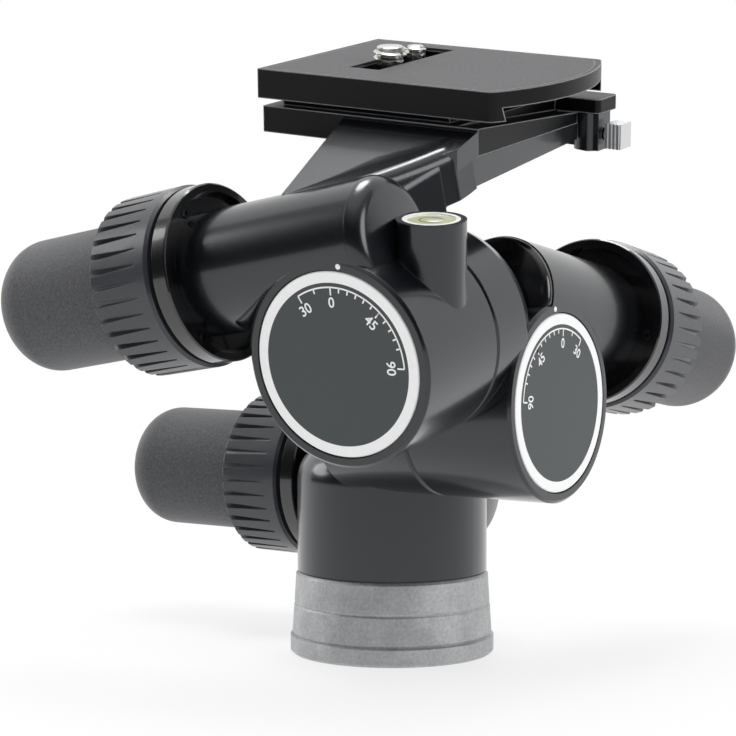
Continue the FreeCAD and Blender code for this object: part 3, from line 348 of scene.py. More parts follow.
FINISHES = {
    "casting": powder_coated_casting,
    "gloss": gloss_lacquered_disc,
    "base": blasted_anodised_base,
    "ribs": ribbed_elastomer,
    "grip": speckled_foam_rubber,
    "nylon": glass_filled_nylon,
    "steel": turned_steel,
    "nickel": nickel_plated_steel,
    "blacked": blacked_steel,
    "spring": drawn_spring_steel,
    "bronze": turned_bronze,
    "chrome": satin_chromed_catch,
    "acetal": acetal_washer,
    "dial": printed_dial_face,
    "white": white_enamel,
    "plate": hard_anodised_plate,
    "pad": cork_rubber_pad,
    "liquid": level_liquid,
    "bubble": level_bubble_air,
    "ink": black_print,
}
MADE = {}


def finish(name):
    """The material of a finish, made the first time it is asked for."""
    if name not in MADE:
        MADE[name] = FINISHES[name]()
    return MADE[name]


def dress(finishes):
    """Give CAD nodes their finishes, from a list of nodes for each finish."""
    for name, nodes in finishes.items():
        for node in nodes:
            mesh = frame["nodes"][node].data
            mesh.materials.clear()
            mesh.materials.append(finish(name))


# ------------------------------------------------------------------ places on the head
JOINTS = {joint["name"]: joint for joint in frame["joints"]}
SIDES = ("pan", "front", "side")


def joint_line(name):
    """A point on a joint's axis and the axis direction, at rest."""
    joint = JOINTS[name]
    return Vector(joint["pos_m"]), Vector(joint["axis"]).normalized()


def reach_along(node, origin, direction):
    """Least and greatest distance of a CAD node from a point along a direction, in metres."""
    spread = [(vertex.co - origin).dot(direction) for vertex in frame["nodes"][node].data.vertices]
    return min(spread), max(spread)


def axes_matrix(origin, across, up, out):
    """Matrix that puts local X, Y and Z along three directions at a point."""
    turn = Matrix((across, up, out)).transposed().to_4x4()
    return Matrix.Translation(origin) @ turn


def dial_place(side):
    """Centre of a dial's face at rest, with X to the right of who reads it, Y up and Z out of the face."""
    if side == "front":
        origin, axis = joint_line("front_tilt")
        out = axis
        up = Vector((0, 0, 1))
    else:
        origin, axis = joint_line("side_tilt")
        out = -axis
        up = Vector((1, 0, 0)).cross(axis)
    face = reach_along(side + "_dial", origin, out)[1]
    return axes_matrix(origin + out * face, up.cross(out), up, out)


def worm_place(side):
    """Place on a worm's axis level with its wheel, with Z out to the knob and X away from the wheel."""
    worm, along = joint_line(side + "_knob_turn")
    wheel, axle = joint_line("pan_turn" if side == "pan" else side + "_tilt")
    origin = worm + along * (wheel - worm).dot(along)
    away = along.cross(axle).normalized()
    centre = wheel + axle * (origin - wheel).dot(axle)
    if (origin - centre).dot(away) < 0:
        away = -away
    return axes_matrix(origin, away, along.cross(away), along)


# ------------------------------------------------------------------ mesh helpers
def in_scene(name, data):
    """New object in the scene that shows a mesh, lamp, camera or text."""
    piece = bpy.data.objects.new(name, data)
    bpy.context.scene.collection.objects.link(piece)
    return piece


def mesh_object(name, mesh, place, body, finish_name):
    """Put a mesh at its place as a finished piece that rides on a body."""
    mesh.transform(place)
    if not mesh.materials:
        mesh.materials.append(finish(finish_name))
    piece = in_scene(name, mesh)
    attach(piece, body)
    return piece


def plain_mesh(holder, name):
    """Plain mesh of what an object shows, and the object taken away."""
    graph = bpy.context.evaluated_depsgraph_get()
    mesh = bpy.data.meshes.new_from_object(holder.evaluated_get(graph), depsgraph=graph)
    holder.modifiers.clear()
    bpy.data.objects.remove(holder)
    mesh.name = name
    return mesh


def mesh_from(work, name):
    """Mesh made of a bmesh, which is freed."""
    mesh = bpy.data.meshes.new(name)
    work.to_mesh(mesh)
    work.free()
    return mesh


def turned_mesh(name, outline, steps):
    """Mesh turned about Z from (radius, height) points, which close on themselves or end on the axis."""
    work = bmesh.new()
    corners = [work.verts.new((radius, 0, height)) for radius, height in outline]
    edges = [work.edges.new(pair) for pair in zip(corners, corners[1:])]
    bmesh.ops.spin(
        work, geom=corners + edges, cent=(0, 0, 0), axis=(0, 0, 1), angle=2 * math.pi, steps=steps,
        use_merge=True,
    )
    bmesh.ops.remove_doubles(work, verts=work.verts, dist=1e-7)
    bmesh.ops.recalc_face_normals(work, faces=work.faces)
    return mesh_from(work, name)


def strip_mesh(name, rows):
    """Closed mesh through rows of points: each row is a section joined to the next, with caps at the ends."""
    work = bmesh.new()
    rings = [[work.verts.new(point) for point in row] for row in rows]
    count = len(rows[0])
    for ring, after in zip(rings, rings[1:]):
        for k in range(count):
            work.faces.new((ring[k], ring[(k + 1) % count], after[(k + 1) % count], after[k]))
    work.faces.new(rings[0])
    work.faces.new(rings[-1])
    bmesh.ops.recalc_face_normals(work, faces=work.faces)
    return mesh_from(work, name)


def smooth_mesh(mesh, degrees=35):
    """Shade a mesh smooth up to an angle between its faces."""
    mesh.polygons.foreach_set("use_smooth", [True] * len(mesh.polygons))
    mesh.set_sharp_from_angle(angle=math.radians(degrees))


def run_tree(tree, inputs, name):
    """Plain mesh that a Geometry Nodes tree makes with its named inputs."""
    holder = in_scene(name, bpy.data.meshes.new(name))
    modifier = holder.modifiers.new(name, "NODES")
    modifier.node_group = tree
    sockets = {item.name: item.identifier for item in tree.interface.items_tree if item.in_out == "INPUT"}
    for socket, value in inputs.items():
        modifier[sockets[socket]] = value
    return plain_mesh(holder, name)


def start_tree(name, whole=(), real=(), objects=()):
    """New Geometry Nodes tree with named inputs of each kind, a material input and one geometry output."""
    tree = bpy.data.node_groups.new(name, "GeometryNodeTree")
    for kind, labels in (("Int", whole), ("Float", real), ("Object", objects), ("Material", ["Material"])):
        for label in labels:
            tree.interface.new_socket(label, in_out="INPUT", socket_type="NodeSocket" + kind)
    tree.interface.new_socket("Geometry", in_out="OUTPUT", socket_type="NodeSocketGeometry")
    return tree, add_node(tree, "NodeGroupInput").outputs


def end_tree(tree, given, geometry):
    """Realise a tree's instances, give them the material input and put them out."""
    solid = add_node(tree, "GeometryNodeRealizeInstances", {"Geometry": geometry})
    coated = add_node(
        tree, "GeometryNodeSetMaterial",
        {"Geometry": solid.outputs["Geometry"], "Material": given["Material"]},
    )
    add_node(tree, "NodeGroupOutput", {"Geometry": coated.outputs["Geometry"]})


def end_ring(tree, given, radius, shape):
    """Put out copies of a shape on an arc about Z, each turned outwards. Angles run clockwise from +Y."""
    points = add_node(tree, "GeometryNodePoints", {"Count": given["Count"]})
    index = add_node(tree, "GeometryNodeInputIndex").outputs["Index"]
    angle = maths(tree, "MULTIPLY_ADD", index, given["Step"], given["First Angle"])
    unit = combine(tree, X=maths(tree, "SINE", angle), Y=maths(tree, "COSINE", angle))
    placed = add_node(
        tree, "GeometryNodeSetPosition",
        {"Geometry": points.outputs["Points"], "Position": scaled(tree, unit, radius)},
    )
    turn = combine(tree, Z=maths(tree, "MULTIPLY", angle, -1.0))
    copies = add_node(
        tree, "GeometryNodeInstanceOnPoints",
        {"Points": placed.outputs["Geometry"], "Instance": shape, "Rotation": turn},
    )
    end_tree(tree, given, copies.outputs["Instances"])


def scale_marks_tree():
    """Tree that sets printed bars on an arc, their outer ends on one radius."""
    tree, given = start_tree(
        "scale_marks", ["Count"], ["First Angle", "Step", "Outer Radius", "Length", "Width", "Thickness"],
    )
    middle = maths(tree, "ADD", given["Outer Radius"], maths(tree, "MULTIPLY", given["Length"], -0.5))
    size = combine(tree, X=given["Width"], Y=given["Length"], Z=given["Thickness"])
    bar = add_node(tree, "GeometryNodeMeshCube", {"Size": size})
    end_ring(tree, given, middle, bar.outputs["Mesh"])
    return tree


def screw_ring_tree():
    """Tree that sets copies of one screw on a circle."""
    tree, given = start_tree("screw_ring", ["Count"], ["First Angle", "Step", "Radius"], ["Screw"])
    screw = add_node(tree, "GeometryNodeObjectInfo", {"Object": given["Screw"]})
    end_ring(tree, given, given["Radius"], screw.outputs["Geometry"])
    return tree


def thread_tree():
    """Tree that winds a thread's ridge about Z. A negative depth makes an inside thread."""
    tree, given = start_tree("screw_thread", real=["Root Radius", "Depth", "Pitch", "Turns"])
    spiral = add_node(tree, "GeometryNodeCurveSpiral", {
        "Resolution": 48, "Rotations": given["Turns"], "Start Radius": given["Root Radius"],
        "End Radius": given["Root Radius"], "Height": maths(tree, "MULTIPLY", given["Pitch"], given["Turns"]),
    })
    upright = add_node(tree, "GeometryNodeSetCurveNormal", {"Curve": spiral.outputs["Curve"]}, mode="Z_UP")
    # Half widths of the ridge at its root and at its crest, as shares of the pitch.
    root_half, crest_half = 0.46, 0.07
    corners = {}
    for depth, half in ((0.0, root_half), (-1.0, crest_half), (-1.0, -crest_half), (0.0, -root_half)):
        corners["Point %d" % (len(corners) + 1)] = combine(
            tree, X=maths(tree, "MULTIPLY", given["Depth"], depth),
            Y=maths(tree, "MULTIPLY", given["Pitch"], half),
        )
    section = add_node(tree, "GeometryNodeCurvePrimitiveQuadrilateral", corners, mode="POINTS")
    ridge = add_node(tree, "GeometryNodeCurveToMesh", {
        "Curve": upright.outputs["Curve"], "Profile Curve": section.outputs["Curve"], "Fill Caps": True,
    })
    end_tree(tree, given, ridge.outputs["Mesh"])
    return tree


TREES = {"marks": scale_marks_tree, "screws": screw_ring_tree, "thread": thread_tree}
GROWN = {}


def node_tree(name):
    """A Geometry Nodes tree, made the first time it is asked for."""
    if name not in GROWN:
        GROWN[name] = TREES[name]()
    return GROWN[name]


# ------------------------------------------------------------------ settings
class HeadFinishSettings(bpy.types.PropertyGroup):
    """Colours that a user would change."""
    casting_dark: FloatVectorProperty(
        name="Casting Dark", description="Darker tone of the castings", subtype="COLOR", size=3,
        min=0, max=1, default=linear("#0b0c0f")[:3],
    )
    casting_light: FloatVectorProperty(
        name="Casting Light", description="Lighter tone of the castings", subtype="COLOR", size=3,
        min=0, max=1, default=linear("#131418")[:3],
    )
    collar_tone: FloatVectorProperty(
        name="Collar", description="Colour of the ribbed release collars", subtype="COLOR", size=3,
        min=0, max=1, default=linear("#25272d")[:3],
    )
    grip_tone: FloatVectorProperty(
        name="Grip", description="Middle colour of the knob grips", subtype="COLOR", size=3,
        min=0, max=1, default=linear("#3b3c3f")[:3],
    )
    dial_tone: FloatVectorProperty(
        name="Dial Face", description="Colour of the two dial faces", subtype="COLOR", size=3,
        min=0, max=1, default=linear("#333a3c")[:3],
    )


class HeadMarkSettings(bpy.types.PropertyGroup):
    """Sizes of what is printed on the dials and of the small fasteners."""
    arc_radius: FloatProperty(
        name="Arc Radius", description="Radius of the printed line that the marks hang from",
        subtype="DISTANCE", unit="LENGTH", default=20.4 * MM,
    )
    line_width: FloatProperty(
        name="Line Width", description="Width of the printed lines", subtype="DISTANCE", unit="LENGTH",
        default=0.42 * MM,
    )
    short_mark: FloatProperty(
        name="Short Mark", description="Length of a mark between figures", subtype="DISTANCE", unit="LENGTH",
        default=1.3 * MM,
    )
    long_mark: FloatProperty(
        name="Long Mark", description="Length of a mark at a figure", subtype="DISTANCE", unit="LENGTH",
        default=2.1 * MM,
    )
    figure_height: FloatProperty(
        name="Figure Height", description="Height of the figures", subtype="DISTANCE", unit="LENGTH",
        default=2.7 * MM,
    )
    figure_radius: FloatProperty(
        name="Figure Radius", description="Distance from the dial's centre to the middle of a figure",
        subtype="DISTANCE", unit="LENGTH", default=16.3 * MM,
    )
    ink_thickness: FloatProperty(
        name="Ink Thickness", description="Thickness of the printing", subtype="DISTANCE", unit="LENGTH",
        default=0.05 * MM,
    )
    mark_step: FloatProperty(
        name="Mark Step", description="Angle between short marks", subtype="ANGLE", unit="ROTATION",
        default=math.radians(7.5),
    )
    flange_screws: IntProperty(
        name="Flange Screws", description="Screws in each dished flange", default=3, min=1,
    )
    thread_sides: IntProperty(
        name="Turned Steps", description="Steps round a turned fastener", default=48, min=12,
    )


class HeadBlendSettings(bpy.types.PropertyGroup):
    """Radii that blend the castings' tubes, arm and housings."""
    tube_blend: FloatProperty(
        name="Tube Blend", description="Radius between a worm tube and the round of its housing",
        subtype="DISTANCE", unit="LENGTH", default=7.0 * MM,
    )
    end_round: FloatProperty(
        name="End Round", description="Radius round the blind end of the side worm's tube",
        subtype="DISTANCE", unit="LENGTH", default=4.5 * MM,
    )
    arm_fold: FloatProperty(
        name="Arm Fold", description="Radius of the arm's right edge", subtype="DISTANCE", unit="LENGTH",
        default=4.0 * MM,
    )


class HeadStageSettings(bpy.types.PropertyGroup):
    """Camera and lights."""
    focal_length: FloatProperty(
        name="Focal Length", description="Camera lens on a 36 mm sensor, in millimetres", default=120.13,
        min=10,
    )
    room_light: FloatProperty(
        name="Room Light", description="Strength of the even room light", default=0.5, min=0,
    )
    top_light: FloatProperty(
        name="Top Light", description="Power of the lamp overhead", subtype="POWER", unit="POWER",
        default=9.0,
    )
    side_light: FloatProperty(
        name="Side Light", description="Power of the two lamps beside the head", subtype="POWER",
        unit="POWER", default=6.5,
    )


# ------------------------------------------------------------------ operators
class HEAD_OT_castings(bpy.types.Operator):
    """Powder coat the castings and give the base its silver finish"""
    bl_idname = "head.castings"
    bl_label = "Castings and Base"

    def execute(self, context):
        dress({
            "casting": ["pan_housing", "front_housing", "side_housing", "lock_lever"],
            "base": ["tripod_base"],
            "gloss": ["pan_end_cap", "front_end_cap", "pan_flange", "front_flange", "side_flange"],
        })
        return {"FINISHED"}


class HEAD_OT_casting_blends(bpy.types.Operator):
    """Blend the worm tubes and the arm into the housings, as the draft and radii of a casting do"""
    bl_idname = "head.casting_blends"
    bl_label = "Casting Blends"

    # Sizes of the castings in millimetres: tube, housing, and the distance between their axes.
    tube_r, housing_r, offset = 17.0, 27.6, 27.7
    blind_end = -11.5
    # How far from the tube's axis the fillet has thinned out, just inside the housing's flat faces.
    fillet_reach = 0.594 * housing_r
    # How deep the hidden edge of a fillet is sunk under both surfaces.
    sunk = 0.4
    bodies = {"front": "front_head", "side": "side_head"}
    # The side head with its platform level, in millimetres: droop of its tube, centre of its tilt, its arm.
    # The arm's edges are (place, slope) from its front, and its top is (height, slope) from the top's start.
    droop = math.radians(16.5)
    side_tilt_centre = Vector((38.6, -64.9, 103.1))
    arm_front, arm_widest, arm_top_start = -74.0, 44.5, -66.0
    arm_left, arm_right, arm_top = (13.0, -11.0 / 52), (33.6, 9.5 / 35), (142.0, 12.5 / 44)
    # How far the hollow runs back, how far it keeps inside the left edge, and how far it sinks into the top.
    hollow_length, left_inset, top_sink = 40.0, 0.2, 0.05
    # The right wall leans out as it goes down, and the keel and the left wall are sunk in the casting.
    right_wall = Vector((1.95, 0, -10))
    keel_inset, keel_depth, left_depth = 4.0, 20.0, 6.0
    # The hollow meets the tube's crown over this length at most.
    hollow_run = 12.0

    def execute(self, context):
        sizes = context.scene.head_blends
        for side, body in self.bodies.items():
            self.blend_tube(side, body, sizes)
        self.round_end(sizes)
        self.fair_arm(sizes)
        return {"FINISHED"}

    def blend_tube(self, side, body, sizes):
        """Fillet where the tube leaves the housing's round on the knob's side, thinned out at its ends."""
        # Turn round the tube in degrees, from one side of the housing to the other.
        first, sweep, steps = 107, 146, 60
        rows = []
        for k in range(steps + 1):
            angle = math.radians(first + sweep * k / steps)
            out = Vector((math.cos(angle), math.sin(angle), 0))
            radius = min(sizes.tube_blend / MM, self.fillet_reach / max(abs(out.y), 0.01) - self.tube_r)
            rows.append(self.rolled_section(radius, out))
        self.add_strip(side + "_tube_blend", rows, worm_place(side), body)

    def round_end(self, sizes):
        """Rounded blind end of the side worm's tube."""
        radius, skin, steps = sizes.end_round / MM, 0.6, 12
        outline = [(0, self.blind_end - radius - skin)]
        outline += [
            (self.tube_r - radius + radius * math.sin(a), self.blind_end - radius * math.cos(a))
            for a in [math.radians(6 + 84 * k / steps) for k in range(steps + 1)]
        ]
        outline.append((0, self.blind_end))
        mesh = turned_mesh("side_tube_end", outline, 96)
        smooth_mesh(mesh, 60)
        place = worm_place("side") @ Matrix.Scale(MM, 4)
        mesh_object(mesh.name, mesh, place, "side_head", "casting")

    def fair_arm(self, sizes):
        """Hollow that carries the arm's top out of the crown of the side worm's tube."""
        along = Vector((-math.cos(self.droop), 0, -math.sin(self.droop)))
        away = Vector((-math.sin(self.droop), 0, math.cos(self.droop)))
        centre = self.side_tilt_centre + away * self.offset
        level = axes_matrix(centre, away, along.cross(away), along)
        fold = sizes.arm_fold / MM
        rows_back, columns, fold_steps = 36, 24, 6
        rows = []
        for k in range(rows_back + 1):
            y = centre.y + self.hollow_length * k / rows_back
            past = y - self.arm_front
            left = self.arm_left[0] + self.arm_left[1] * past + self.left_inset
            right = min(self.arm_right[0] + self.arm_right[1] * past, self.arm_widest)
            row = []
            for n in range(columns + 1):
                x = left + (right - fold - left) * n / columns
                row.append(Vector((x, y, self.arm_height(x, y, centre))))
            edge = row[-1]
            for n in range(1, fold_steps + 1):
                angle = math.radians(90 * n / fold_steps)
                row.append(edge + Vector((fold * math.sin(angle), 0, -fold * (1 - math.cos(angle)))))
            row.append(row[-1] + self.right_wall)
            row.append(Vector((left + self.keel_inset, y, edge.z - self.keel_depth)))
            row.append(Vector((left, y, row[0].z - self.left_depth)))
            rows.append(row)
        to_rest = worm_place("side") @ Matrix.Scale(MM, 4) @ level.inverted()
        self.add_strip("side_arm_blend", rows, to_rest @ Matrix.Scale(1 / MM, 4), "side_head")

    def arm_height(self, x, y, centre):
        """Height over a point of a curve that leaves the tube's crown level and ends along the arm's top."""
        start, rise = self.arm_top
        crown = centre.z + (x - centre.x) * math.tan(self.droop) + self.tube_r / math.cos(self.droop)
        corner = self.arm_top_start + (crown - start) / rise
        arm = start + (y - self.arm_top_start) * rise - self.top_sink
        if corner <= centre.y + 0.2:
            return arm
        end = corner + min(corner - centre.y, self.hollow_run)
        if y >= end:
            return arm
        # The share of the curve at this y is the root of a quadratic.
        square, double = centre.y - 2 * corner + end, 2 * (corner - centre.y)
        rest = centre.y - y
        if abs(square) < 1e-6:
            share = -rest / double
        else:
            share = (-double + math.sqrt(double ** 2 - 4 * square * rest)) / (2 * square)
        return crown + share ** 2 * (end - corner) * rise

    def from_tube(self, point):
        """Distance of a point from the tube's surface, in a worm's place."""
        return math.hypot(point.x, point.y) - self.tube_r

    def from_housing(self, point):
        """Distance of a point from the housing's round, in a worm's place."""
        return math.hypot(point.x + self.offset, point.z) - self.housing_r

    def rolled_section(self, radius, out):
        """Arc of a ball that rolls in the corner of tube and housing, and a point sunk in that corner."""
        centre = self.meet(radius, radius, out)
        corner = self.meet(-self.sunk, radius, out)
        to_tube = -self.slope(self.from_tube, centre)
        to_housing = -self.slope(self.from_housing, centre)
        steps = 10
        arc = [
            centre + to_tube.slerp(to_housing, k / steps).normalized() * radius for k in range(steps + 1)
        ]
        return arc + [corner]

    def slope(self, distance, point):
        """Direction in which a distance grows."""
        step = 0.02
        parts = [
            distance(point + move) - distance(point - move)
            for move in (Vector((step, 0, 0)), Vector((0, step, 0)), Vector((0, 0, step)))
        ]
        return Vector(parts).normalized()

    def meet(self, target, radius, out):
        """Point at one distance from tube and housing in the plane of a direction out, by Newton's method."""
        along, step = Vector((0, 0, 1)), 0.01
        a, b = self.tube_r + radius, 30
        surfaces = self.from_tube, self.from_housing
        for _ in range(25):
            point = out * a + along * b
            gaps = [surface(point) - target for surface in surfaces]
            by_a, by_b = [
                [(f(point + move * step) - f(point - move * step)) / (2 * step) for f in surfaces]
                for move in (out, along)
            ]
            area = by_a[0] * by_b[1] - by_a[1] * by_b[0]
            a -= (gaps[0] * by_b[1] - gaps[1] * by_b[0]) / area
            b -= (by_a[0] * gaps[1] - by_a[1] * gaps[0]) / area
        return out * a + along * b

    def add_strip(self, name, rows, place, body):
        """Strip of casting through rows of points in millimetres."""
        mesh = strip_mesh(name, rows)
        smooth_mesh(mesh, 40)
        mesh_object(name, mesh, place @ Matrix.Scale(MM, 4), body, "casting")


class HEAD_OT_knobs(bpy.types.Operator):
    """Finish the knobs and the ribbed release collars"""
    bl_idname = "head.knobs"
    bl_label = "Knobs and Collars"

    def execute(self, context):
        dress({
            "ribs": [side + "_collar" for side in SIDES],
            "grip": [side + "_knob_grip" for side in SIDES],
            "nylon": [side + "_knob_core" for side in SIDES],
        })
        return {"FINISHED"}


class HEAD_OT_works(bpy.types.Operator):
    """Finish the worms, wheels, axles, bushes and springs inside the castings"""
    bl_idname = "head.works"
    bl_label = "Inner Works"

    def execute(self, context):
        dress({
            "steel": [side + "_worm_shaft" for side in SIDES] + [side + "_release_sleeve" for side in SIDES]
            + ["front_axle", "side_axle", "pan_spindle", "lever_pin", "tripod_thread_bush"],
            "nickel": ["pan_spindle_nut", "front_axle_nut", "side_axle_nut", "screw_retainer_large",
                       "screw_retainer_small"],
            "bronze": [side + "_worm_wheel" for side in SIDES]
            + ["front_axle_bush", "side_axle_bush", "side_end_bearing"],
            "plate": ["front_bearing_plate", "side_bearing_plate"],
            "spring": [side + "_collar_spring" for side in SIDES],
            "acetal": ["pan_thrust_washer"],
        })
        return {"FINISHED"}


class HEAD_OT_camera_plate(bpy.types.Operator):
    """Finish the platform, the camera plate, its pad and its lock"""
    bl_idname = "head.camera_plate"
    bl_label = "Camera Plate"

    def execute(self, context):
        dress({"plate": ["platform", "quick_plate"], "pad": ["plate_pad"], "chrome": ["safety_catch"]})
        return {"FINISHED"}


class HEAD_OT_dials(bpy.types.Operator):
    """Finish the dials and print their scales, figures and index dots"""
    bl_idname = "head.dials"
    bl_label = "Dials"

    # Each dial: body that it rides on, turn of its zero, which way its angles grow, and the housing that
    # carries the index dot with the turn of that dot at rest.
    faces = {
        "side": ("front_head", 1.0, 1, "side_head", 7.6),
        "front": ("pan_body", 4.0, -1, "front_head", -6.8),
    }
    figures = (-30, 0, 45, 90)
    dot_circle = 26.0 * MM

    def execute(self, context):
        sizes = context.scene.head_marks
        dress({"dial": ["front_dial", "side_dial"], "white": ["front_dial_ring", "side_dial_ring"]})
        for side, (body, zero, way, housing, dot) in self.faces.items():
            face = dial_place(side)
            lift = Matrix.Translation((0, 0, sizes.ink_thickness / 2))
            self.print_marks(side, body, zero, way, face @ lift, sizes)
            self.print_arc(side, body, zero, way, face, sizes)
            self.print_figures(side, body, zero, way, face, sizes)
            self.paint_dot(side, housing, dot, face)
        return {"FINISHED"}

    def print_marks(self, side, body, zero, way, place, sizes):
        step = math.degrees(sizes.mark_step)
        runs = [
            ("early", -15.0, 1, sizes.short_mark),
            ("short", step, int(90 / step) - 1, sizes.short_mark),
        ]
        runs += [("figure_%d" % (k + 1), angle, 1, sizes.long_mark) for k, angle in enumerate(self.figures)]
        for label, first, count, length in runs:
            mesh = run_tree(node_tree("marks"), {
                "Count": count, "First Angle": math.radians(zero + way * first),
                "Step": way * sizes.mark_step, "Outer Radius": sizes.arc_radius, "Length": length,
                "Width": sizes.line_width,
                "Thickness": sizes.ink_thickness, "Material": finish("white"),
            }, "%s_dial_marks_%s" % (side, label))
            mesh_object(mesh.name, mesh, place, body, "white")

    def print_arc(self, side, body, zero, way, place, sizes):
        inner = sizes.arc_radius - sizes.line_width / 2
        outer = sizes.arc_radius + sizes.line_width / 2
        first, last = sorted((zero + way * self.figures[0], zero + way * self.figures[-1]))
        corners = ((inner, 0), (outer, 0), (outer, sizes.ink_thickness), (inner, sizes.ink_thickness))
        steps = 60
        rows = []
        for k in range(steps + 1):
            angle = math.radians(first + (last - first) * k / steps)
            across, up = math.sin(angle), math.cos(angle)
            rows.append([(across * radius, up * radius, height) for radius, height in corners])
        mesh = strip_mesh(side + "_dial_arc", rows)
        mesh_object(mesh.name, mesh, place, body, "white")

    def print_figures(self, side, body, zero, way, place, sizes):
        for angle in self.figures:
            text = bpy.data.curves.new("figure", "FONT")
            text.body = str(abs(angle))
            text.size = sizes.figure_height / 0.7
            text.align_x = "CENTER"
            text.align_y = "CENTER"
            text.extrude = sizes.ink_thickness / 2
            text.offset = 0.05 * MM
            text.resolution_u = 4
            mesh = plain_mesh(in_scene("figure", text), "%s_dial_figure_%d" % (side, abs(angle)))
            mesh.materials.clear()
            turn = math.radians(zero + way * angle)
            spot = Vector((math.sin(turn), math.cos(turn), 0)) * sizes.figure_radius
            spot.z = sizes.ink_thickness / 2
            local = Matrix.Translation(spot) @ Matrix.Rotation(-turn, 4, "Z")
            mesh_object(mesh.name, mesh, place @ local, body, "white")

    def paint_dot(self, side, body, turn, place):
        radius, height = 0.75 * MM, 0.18 * MM
        outline = [(0, -0.1 * MM), (radius, -0.1 * MM)]
        outline += [(radius * math.cos(a), height * math.sin(a)) for a in (0, 0.4, 0.8, 1.2)] + [(0, height)]
        mesh = turned_mesh(side + "_index_dot", outline, 24)
        smooth_mesh(mesh, 50)
        angle = math.radians(turn)
        spot = Vector((math.sin(angle), math.cos(angle), 0)) * self.dot_circle
        mesh_object(mesh.name, mesh, place @ Matrix.Translation(spot), body, "white")


class HEAD_OT_flange_screws(bpy.types.Operator):
    """Set the small socket screws in the dished flanges"""
    bl_idname = "head.flange_screws"
    bl_label = "Flange Screws"

    bodies = {"pan": "pan_body", "front": "front_head", "side": "side_head"}
    # Radius of the screws' circle, depth of the dish inside the flange's lip, and turn of the first screw.
    circle, dish = 19.1 * MM, 2.6 * MM
    first = 100.0

    def execute(self, context):
        sizes = context.scene.head_marks
        screw = self.socket_screw()
        for side, body in self.bodies.items():
            place = worm_place(side)
            origin, along = place.translation, place.col[2].to_3d()
            lip = reach_along(side + "_flange", origin, along)[0]
            seat = place @ Matrix.Translation((0, 0, lip + self.dish))
            # The heads face the housing, so the ring is turned over; X then points away from the wheel.
            over = Matrix.Rotation(math.pi, 4, "X") @ Matrix.Rotation(-math.pi / 2, 4, "Z")
            mesh = run_tree(node_tree("screws"), {
                "Count": sizes.flange_screws, "First Angle": math.radians(self.first),
                "Step": 2 * math.pi / sizes.flange_screws, "Radius": self.circle, "Screw": screw,
                "Material": finish("blacked"),
            }, side + "_flange_screws")
            mesh_object(mesh.name, mesh, seat @ over, body, "blacked")
        bpy.data.objects.remove(screw)
        return {"FINISHED"}

    def socket_screw(self):
        """Cap of a socket screw: bevelled head, and a six-sided socket sunk in it."""
        head, socket, tall = 1.5 * MM, 0.75 * MM, 0.5 * MM
        bevel, under, deep = 0.2 * MM, -0.8 * MM, -0.4 * MM
        steps = 12
        turns = [2 * math.pi * k / steps for k in range(steps)]
        rings = [
            [Matrix.Rotation(turn, 3, "Z") @ Vector((radius, 0, height)) for turn in turns]
            for radius, height in ((head, under), (head, tall - bevel), (head - bevel, tall))
        ]
        flats = [socket if k % 2 == 0 else socket * math.cos(math.pi / 6) for k in range(steps)]
        rings += [
            [(flat * math.cos(turn), flat * math.sin(turn), height) for flat, turn in zip(flats, turns)]
            for height in (tall, deep)
        ]
        return in_scene("socket_screw", strip_mesh("socket_screw", rings))


class HEAD_OT_camera_screws(bpy.types.Operator):
    """Cut the threads of the camera screws and of the tripod bush"""
    bl_idname = "head.camera_screws"
    bl_label = "Camera Screws"

    # Nominal radius, thread pitch, head radius.
    sorts = {
        "large": (4.7625 * MM, 25.4 / 16 * MM, 7.0 * MM),
        "small": (3.175 * MM, 25.4 / 20 * MM, 5.6 * MM),
    }
    # Height of a head, bevel of its edges, and how much thinner the neck is than the thread.
    head_tall, bevel, neck_relief = 3.6 * MM, 0.3 * MM, 0.8 * MM
    # Height over the bottom of the base at which the bush's thread starts, and its turns.
    bush_start, bush_turns = 0.6 * MM, 6.8

    def execute(self, context):
        for name, (radius, pitch, head) in self.sorts.items():
            self.cut_screw(context, name, radius, pitch, head)
        radius, pitch = self.sorts["large"][:2]
        mesh = run_tree(node_tree("thread"), {
            "Root Radius": radius, "Depth": -0.5 * pitch, "Pitch": pitch, "Turns": self.bush_turns,
            "Material": finish("steel"),
        }, "tripod_thread")
        smooth_mesh(mesh)
        mesh_object(mesh.name, mesh, Matrix.Translation((0, 0, self.bush_start)), "base", "steel")
        return {"FINISHED"}

    def cut_screw(self, context, name, radius, pitch, head):
        node = "camera_screw_" + name
        centre, up = joint_line(name + "_screw_turn")
        if up.z < 0:
            up = -up
        low, high = reach_along(node, centre, up)
        plate = reach_along("plate_pad", centre, up)[1]
        across = Vector((0, 1, 0)).cross(up).normalized()
        place = axes_matrix(centre, across, up.cross(across), up)
        depth = 0.6 * pitch
        root = radius - depth
        neck = radius - self.neck_relief
        shoulder = low + self.head_tall
        bevel = self.bevel
        outline = [
            (0, low), (head - bevel, low), (head, low + bevel), (head, shoulder - bevel),
            (head - bevel, shoulder), (min(neck, root), shoulder), (root, plate), (root, high - bevel),
            (root - 0.5 * MM, high), (0, high),
        ]
        body = turned_mesh(node + "_turned", outline, context.scene.head_marks.thread_sides)
        smooth_mesh(body)
        turned = mesh_object(body.name, body, place, name + "_camera_screw", "nickel")
        run = high - plate - 0.35 * MM
        ridge = run_tree(node_tree("thread"), {
            "Root Radius": root - 0.02 * MM, "Depth": depth, "Pitch": pitch,
            "Turns": (run - 0.7 * pitch) / pitch, "Material": finish("nickel"),
        }, node + "_thread")
        smooth_mesh(ridge)
        raised = place @ Matrix.Translation((0, 0, plate + 0.4 * pitch))
        thread = mesh_object(ridge.name, ridge, raised, name + "_camera_screw", "nickel")
        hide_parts(node)
        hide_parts(node)


